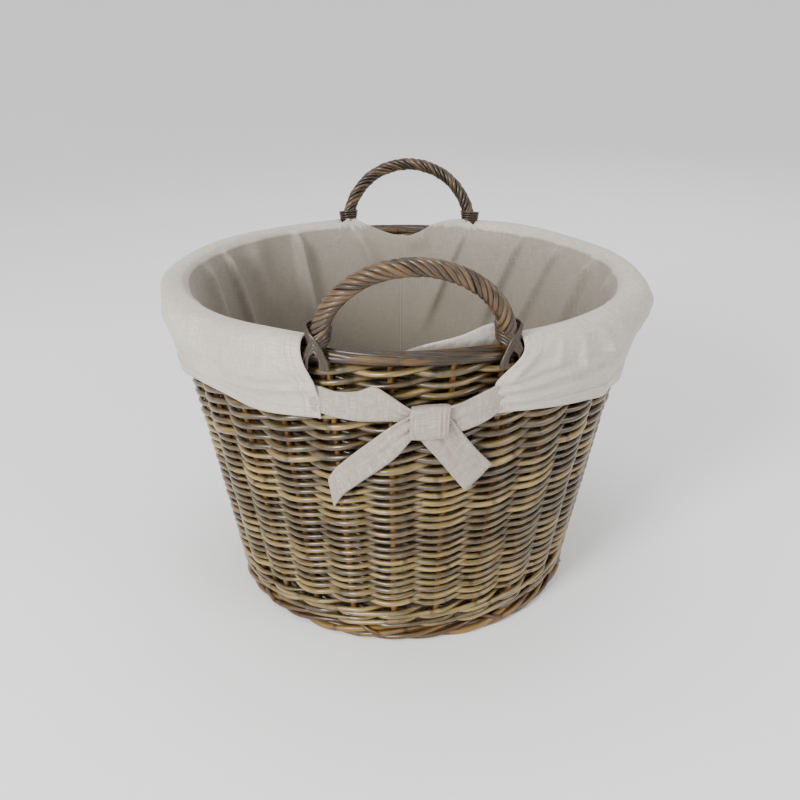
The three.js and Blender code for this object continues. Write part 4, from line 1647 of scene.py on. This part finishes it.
        # Painted shade in the hollow of the basket: none at the rim, 0.7 just below it, growing to 1 deeper
        # down, none on the flaps
        hollow = smooth_between(self.wall.rim + 2 * MM, self.wall.rim - self.inside_shade_depth, points[..., 2])
        hollow[self.inside_rows:] = 0
        side = Sheet("lining_side_panel", self.cloth, finishes).build(
            points, flat, kept, closed=True, plain_from=self.inside_rows - 8,
            inside=hollow * 0.3 + 0.7 * (hollow > 0))
        settle(side, ["lining_side"])
        round_rim = FULL_TURN * self.wall.radius(self.wall.rim)
        self.build_floor(finishes)
        self.build_stitching(points, stitches)

    def build_floor(self, finishes: list[bpy.types.Material]) -> None:
        """The round floor of the lining, with soft creases where logs have pressed it.

        Args:
            finishes: the lining's finishes.
        """
        low, high = node_box("lining_base")
        rings, corners = 26, 120
        share = np.linspace(0.02, 1, rings)[:, None]
        turn = np.linspace(0, FULL_TURN, corners, endpoint=False)[None, :]
        x, y = share * high.x * np.sin(turn), -share * high.x * np.cos(turn)
        lift = 0.9 * MM * (1 + ripples(x, y, 83, 14)) * smooth_between(1.0, 0.85, share)
        height = low.z + 1.4 * MM + lift
        points = np.stack([x, y, height], axis=-1)
        centre = np.repeat(np.array([[[0.0, 0.0, float(height[0].mean())]]]), corners, axis=1)
        points = np.vstack([centre, points])
        # the whole floor takes the full painted shade of the hollow
        piece = Sheet("lining_floor", self.cloth, finishes).build(
            points, points[..., :2].copy(), closed=True, plain_from=len(points),
            inside=np.ones(points.shape[:2]))
        merge_doubles(piece)
        settle(piece, ["lining_base"])

    def build_stitching(self, points: np.ndarray, stitches: Recipe) -> None:
        """Sews the hem, the flaps' front edges and the seam inside the back.

        Args:
            points: the side panel's places.
            stitches: the thread.
        """
        angle = self.angles()
        flap = ~self.in_neck(angle)
        hem_row = len(points) - 1 - round(self.flap_rows * 0.2)
        first_rows = slice(self.inside_rows + 6, len(points) - 1)
        lines = []
        for run in np.split(np.arange(self.columns), np.flatnonzero(np.diff(flap.astype(int))) + 1):
            if flap[run[0]] and len(run) > 8:
                lines.append(points[hem_row, run[2:-2]])
                for inset in (2, 4):
                    lines.append(points[first_rows, run[inset]])
                    lines.append(points[first_rows, run[-1 - inset]])
        seam = int(np.abs(self.wrap(angle - self.seam_place)).argmin())
        lines.append(points[2:self.inside_rows - 2, seam + 1])
        paths = [[Vector(spot) + self.off_cloth(spot, inside=False) for spot in line]
                 for line in lines[:-1]]
        paths.append([Vector(spot) + self.off_cloth(spot, inside=True) for spot in lines[-1]])
        finish = THREAD_FINISH.material(self.effects)
        sizes = {"Stitch Pitch": 3.6 * MM, "Stitch Length": 2.7 * MM, "Thread Radius": 0.28 * MM}
        piece = stitches.run("lining_stitching", finish, sizes, line_mesh("stitch_lines", paths))
        settle(piece, [])

    def off_cloth(self, spot: np.ndarray, inside: bool) -> Vector:
        """A small step off the cloth's surface, towards the side that shows."""
        out = Vector((spot[0], spot[1], 0)).normalized() * 0.25 * MM
        return -out if inside else out


def merge_doubles(piece: bpy.types.Object) -> None:
    """Joins the points of a piece that lie on one another.

    Args:
        piece: the piece.
    """
    work = bmesh.new()
    work.from_mesh(piece.data)
    bmesh.ops.remove_doubles(work, verts=work.verts, dist=1e-6)
    work.to_mesh(piece.data)
    work.free()


@dataclass(frozen=True)
class Strap:
    """One tie: the two edges that it runs between, from the flap through the knot to its end.

    Points are (millimetres to the right along the wall, height, millimetres out from the stakes).
    """

    word: str
    upper: tuple
    lower: tuple
    length: float


LEFT_STRAP = Strap(
    "left",
    upper=((-80, 314, 10.8), (-69, 314, 11.5), (-55, 311, 14), (-38, 313, 15), (-24, 320, 18),
           (-13, 314, 19), (3, 300, 17), (14, 296, 17), (28, 295, 17), (38, 287, 17), (50, 269, 14.5),
           (66, 248, 13.5), (83, 229, 13.5)),
    lower=((-80, 288, 10.8), (-69, 286, 11.3), (-55, 284, 13), (-38, 282.5, 14), (-24, 282.5, 14),
           (-12, 283.5, 15), (3, 282, 15), (10, 276, 14), (13, 268, 14), (18, 258, 13), (30, 242, 12.5),
           (44, 222, 12.5), (59, 202, 12.5)),
    length=0.215,
)
RIGHT_STRAP = Strap(
    "right",
    upper=((92, 317, 10.8), (81, 315, 12), (70, 312, 15), (58, 307, 17), (46, 302, 18), (34, 299, 18),
           (22, 296, 19), (10, 294, 19), (0, 289, 19), (-15, 275, 16), (-33, 257, 14), (-51, 240, 13.5),
           (-63, 227, 14), (-70, 215, 15)),
    lower=((92, 290, 10.8), (82, 285, 11.5), (74, 280, 13), (61, 274, 14), (46, 270, 15), (34, 270, 15),
           (22, 270, 16), (11, 268, 16), (3, 259, 16), (-6, 245, 13.5), (-23, 228, 12.8), (-42, 212, 12.5),
           (-57, 198, 12.5), (-68, 181, 13.5)),
    length=0.235,
)
STRAPS = (LEFT_STRAP, RIGHT_STRAP)


@dataclass
class Ties:
    """The two straps of one side and the knot that they pass through."""

    wall: Wall
    side: Side
    effects: Effects
    cloth: float = 1.5 * MM
    across_rows: int = 15
    knot_middle: tuple[float, float] = (21.5, 284.0)
    knot_half_width: float = 16.0
    knot_half_height: float = 17.6
    knot_half_depth: float = 6.6
    knot_out: float = 17.2
    knot_squareness: float = 0.62
    # folds in the knot, as (share of its length, height in millimetres)
    knot_folds: tuple = ((0.72, 1.4), (0.84, 1.5), (0.03, 1.0))
    strap_seams: tuple[float, float] = (0.1, 0.9)
    gather_reach: float = 26.0
    pleat_heights: tuple[float, float] = (2.2, 1.1)
    strap_crown: float = 1.4
    strap_hem: float = 0.8
    strap_slack: float = 1.1
    wrap_height: float = 295 * MM

    def on_wall(self, spots: np.ndarray) -> np.ndarray:
        """Bends flat places on to the wall.

        Args:
            spots: (millimetres along, height, out) in the last axis.

        Returns:
            Points in metres.
        """
        along, height, out = spots[..., 0] * MM, spots[..., 1] * MM, spots[..., 2] * MM
        circle = self.wall.radius(self.wrap_height)
        turn = along / circle
        radius = self.wall.radius(height) + out
        return np.stack([radius * np.sin(turn), self.side.value * radius * np.cos(turn), height], axis=-1)

    def strap_grid(self, strap: Strap, steps: int = 90) -> np.ndarray:
        """The strap's places, with folds that run along it and close up towards the knot.

        Args:
            strap: the strap.
            steps: how many rows lie along it.

        Returns:
            A grid of (along, height, out), in millimetres.
        """
        upper = smooth_points(np.array(strap.upper, dtype=float), steps)
        lower = smooth_points(np.array(strap.lower, dtype=float), steps)
        share = np.linspace(0, 1, self.across_rows)[None, :, None]
        grid = upper[:, None, :] * (1 - share) + lower[:, None, :] * share
        gap = np.abs(upper[:, 0] + lower[:, 0] - 2 * self.knot_middle[0]) / 2
        near = np.exp(-((gap / self.gather_reach) ** 2))[:, None]
        across = share[..., 0]
        seed = 91 if strap.word == "left" else 97
        slow = ripples(grid[..., 0] * MM * 2.2, grid[..., 1] * MM * 2.2, seed, 8)
        broad, fine = np.cos(across * 2.5 * FULL_TURN + 0.6), np.cos(across * 4.5 * FULL_TURN)
        pleats = near * self.pleat_heights[0] * broad + near * self.pleat_heights[1] * fine
        crown = self.strap_crown * np.sin(across * math.pi)
        hem = self.strap_hem * (smooth_between(0.2, 0.12, across) + smooth_between(0.8, 0.88, across))
        grid[..., 2] += crown + pleats + self.strap_slack * slow + hem * (1 + 1.4 * near)
        return grid

    def build(self, stitches: Recipe) -> None:
        """Makes the straps, the knot and their stitching.

        Args:
            stitches: the thread.
        """
        word = self.side.word
        finish = TIE_FINISH.material(self.effects)
        lines = []
        for strap in STRAPS:
            grid = self.strap_grid(strap)
            flipped = (self.side is Side.FRONT) == (strap.word == "left")
            places = self.on_wall(grid if flipped else grid[:, ::-1])
            steps, rows = places.shape[:2]
            cut = np.empty((steps, rows, 2))
            cut[..., 0] = np.linspace(0, strap.length, steps)[:, None]
            cut[..., 1] = np.linspace(0, 0.028, rows)[None, :]
            piece = Sheet(f"{word}_strap_{strap.word}", self.cloth, [finish]).build(places, cut)
            face_outward(piece)
            settle(piece, [f"{word}_tie_{strap.word}"])
            for share in self.strap_seams:
                row = round(share * (self.across_rows - 1))
                line = self.on_wall(grid[2:-2, row] + np.array([0, 0, 0.25]))
                lines.append([Vector(spot) for spot in line])
        self.build_knot(finish)
        sizes = {"Stitch Pitch": 3.2 * MM, "Stitch Length": 2.3 * MM, "Thread Radius": 0.22 * MM}
        thread = THREAD_FINISH.material(self.effects)
        piece = stitches.run(f"{word}_tie_stitching", thread, sizes, line_mesh("tie_lines", lines))
        settle(piece, [])

    def build_knot(self, finish: bpy.types.Material) -> None:
        """The knot: a band folded over and pulled tight round both straps.

        Args:
            finish: the ties' finish.
        """
        corners, steps = 64, 40
        share = np.linspace(0, 1, steps)[:, None]
        turn = np.linspace(0, FULL_TURN, corners, endpoint=False)[None, :]
        along = self.knot_middle[0] + (share * 2 - 1) * self.knot_half_width
        up = np.sign(np.cos(turn)) * np.abs(np.cos(turn)) ** self.knot_squareness
        out = np.sign(np.sin(turn)) * np.abs(np.sin(turn)) ** self.knot_squareness
        swell = 0.9 + 0.1 * np.sin(share * math.pi) ** 0.6
        folds = np.zeros_like(share)
        for place, height in self.knot_folds:
            rising = smooth_between(place, place + 0.02, share)
            falling = smooth_between(place + 0.1, place + 0.03, share)
            folds = folds + height * rising * falling
        crease = 0.35 * ripples(along * MM * 4 + 0 * turn, turn * 0.016, 71, 8)
        high = self.knot_middle[1] + up * self.knot_half_height * swell + (share - 0.5) * 1.6
        deep = self.knot_out + out * (self.knot_half_depth * swell + folds + crease)
        grid = np.stack(np.broadcast_arrays(along + 0.6 * np.cos(turn * 2), high, deep), axis=-1)
        places = self.on_wall(grid)
        cut = np.empty(places.shape[:2] + (2,))
        cut[..., 0] = turn * 0.015
        cut[..., 1] = share * 2 * self.knot_half_width * MM
        word = self.side.word
        piece = Sheet(f"{word}_knot", self.cloth, [finish]).build(places, cut, closed=True)
        face_outward(piece)
        settle(piece, [f"{word}_tie_knot"])


def face_outward(piece: bpy.types.Object) -> None:
    """Turns a small sheet's faces away from the basket's axis, or a knot's from its own middle.

    Args:
        piece: the sheet.
    """
    mesh = piece.data
    centre = sum((v.co for v in mesh.vertices), Vector()) / len(mesh.vertices)
    anchor = centre if piece.name.endswith("knot") else Vector((0, 0, centre.z))
    score = sum((face.center - anchor).dot(face.normal) * face.area for face in mesh.polygons)
    if score < 0:
        mesh.flip_normals()


# ---------------------------------------------------------------- studio


@dataclass(frozen=True)
class Studio:
    """The floor, the lights and the camera."""

    lens: float = 38.9
    camera_place: tuple[float, float, float] = (-0.003, -0.932, 0.607)
    camera_pitch: float = math.radians(23.9)
    floor_radius: float = 6.5
    cove: float = 3.8
    world_strength: float = 0.78
    # each light's name, place, side in metres and watts
    lights: tuple = (
        ("key", (-1.7, -2.3, 1.6), 0.9, 122.0),
        ("fill", (2.1, -1.5, 1.7), 1.4, 30.0),
        ("top", (-0.4, 0.3, 2.9), 1.6, 20.0),
        ("rear", (0.9, 2.3, 1.7), 1.6, 12.0),
    )
    aim: tuple[float, float, float] = (0, 0, 0.2)

    def build(self) -> None:
        """Sets up the studio."""
        self.add_floor()
        self.add_camera()
        for light in self.lights:
            self.add_light(*light)
        world = bpy.data.worlds.new("studio_world")
        world.use_nodes = True
        glow = world.node_tree.nodes["Background"]
        glow.inputs["Color"].default_value = (1.0, 1.0, 1.0, 1.0)
        glow.inputs["Strength"].default_value = self.world_strength
        bpy.context.scene.world = world

    def add_floor(self) -> None:
        """The plain pale floor, which curves up all round so that no edge shows."""
        corners, bend = 96, 12
        turns = np.linspace(0, FULL_TURN, corners, endpoint=False)
        angles = np.linspace(0, math.pi / 2, bend + 1)
        flat = self.floor_radius - self.cove
        outline = [(flat * share, 0.0) for share in (0.002, 0.25, 0.5, 1.0)]
        outline += [(flat + self.cove * math.sin(a), self.cove * (1 - math.cos(a))) for a in angles[1:]]
        points = [(r * math.sin(a), -r * math.cos(a), z) for r, z in outline for a in turns]
        faces = [(i * corners + j, (i + 1) * corners + j, (i + 1) * corners + (j + 1) % corners,
                  i * corners + (j + 1) % corners) for i in range(len(outline) - 1) for j in range(corners)]
        faces.append(tuple(range(corners)))
        mesh = bpy.data.meshes.new("floor")
        mesh.from_pydata(points, [], faces)
        mesh.polygons.foreach_set("use_smooth", [True] * len(mesh.polygons))
        floor = bpy.data.objects.new("floor", mesh)
        floor.data.materials.append(FloorFinish().material())
        bpy.context.collection.objects.link(floor)

    def add_camera(self) -> None:
        """The camera, looking down at the front."""
        data = bpy.data.cameras.new("camera")
        data.lens = self.lens
        data.sensor_width = 36.0
        camera = bpy.data.objects.new("camera", data)
        camera.location = self.camera_place
        camera.rotation_euler = (math.pi / 2 - self.camera_pitch, 0.0, 0.0)
        bpy.context.collection.objects.link(camera)
        bpy.context.scene.camera = camera

    def add_light(self, name: str, place: tuple[float, float, float], size: float, power: float) -> None:
        """One soft square light that faces the basket.

        Args:
            name: the light's name.
            place: where it stands.
            size: its side.
            power: in watts.
        """
        data = bpy.data.lights.new(name, "AREA")
        data.size = size
        data.energy = power
        light = bpy.data.objects.new(name, data)
        light.location = place
        aim = Vector(self.aim) - Vector(place)
        light.rotation_euler = aim.to_track_quat("-Z", "Y").to_euler()
        bpy.context.collection.objects.link(light)


def main() -> None:
    """Builds the basket in the order in which it is made."""
    logging.basicConfig(level=logging.INFO, format="%(name)s: %(message)s")
    Studio().build()
    effects = Effects()
    wall = Wall()
    twining, rods = twining_recipe(), rod_recipe()
    level_rope, arch_rope = rope_recipe(NormalMode.LEVEL), rope_recipe(NormalMode.LEAST_TWIST)
    basketwork = Basketwork(wall, effects)
    basketwork.build_base(twining, rods)
    basketwork.build_stakes(rods)
    basketwork.build_wall(twining)
    basketwork.build_edges(level_rope, rods)
    for side in Side:
        Handle(wall, side, effects).build(arch_rope, rods)
    stitches = stitch_recipe()
    Lining(wall, effects).build(stitches)
    for side in Side:
        Ties(wall, side, effects).build(stitches)


if __name__ == "__main__":
    main()
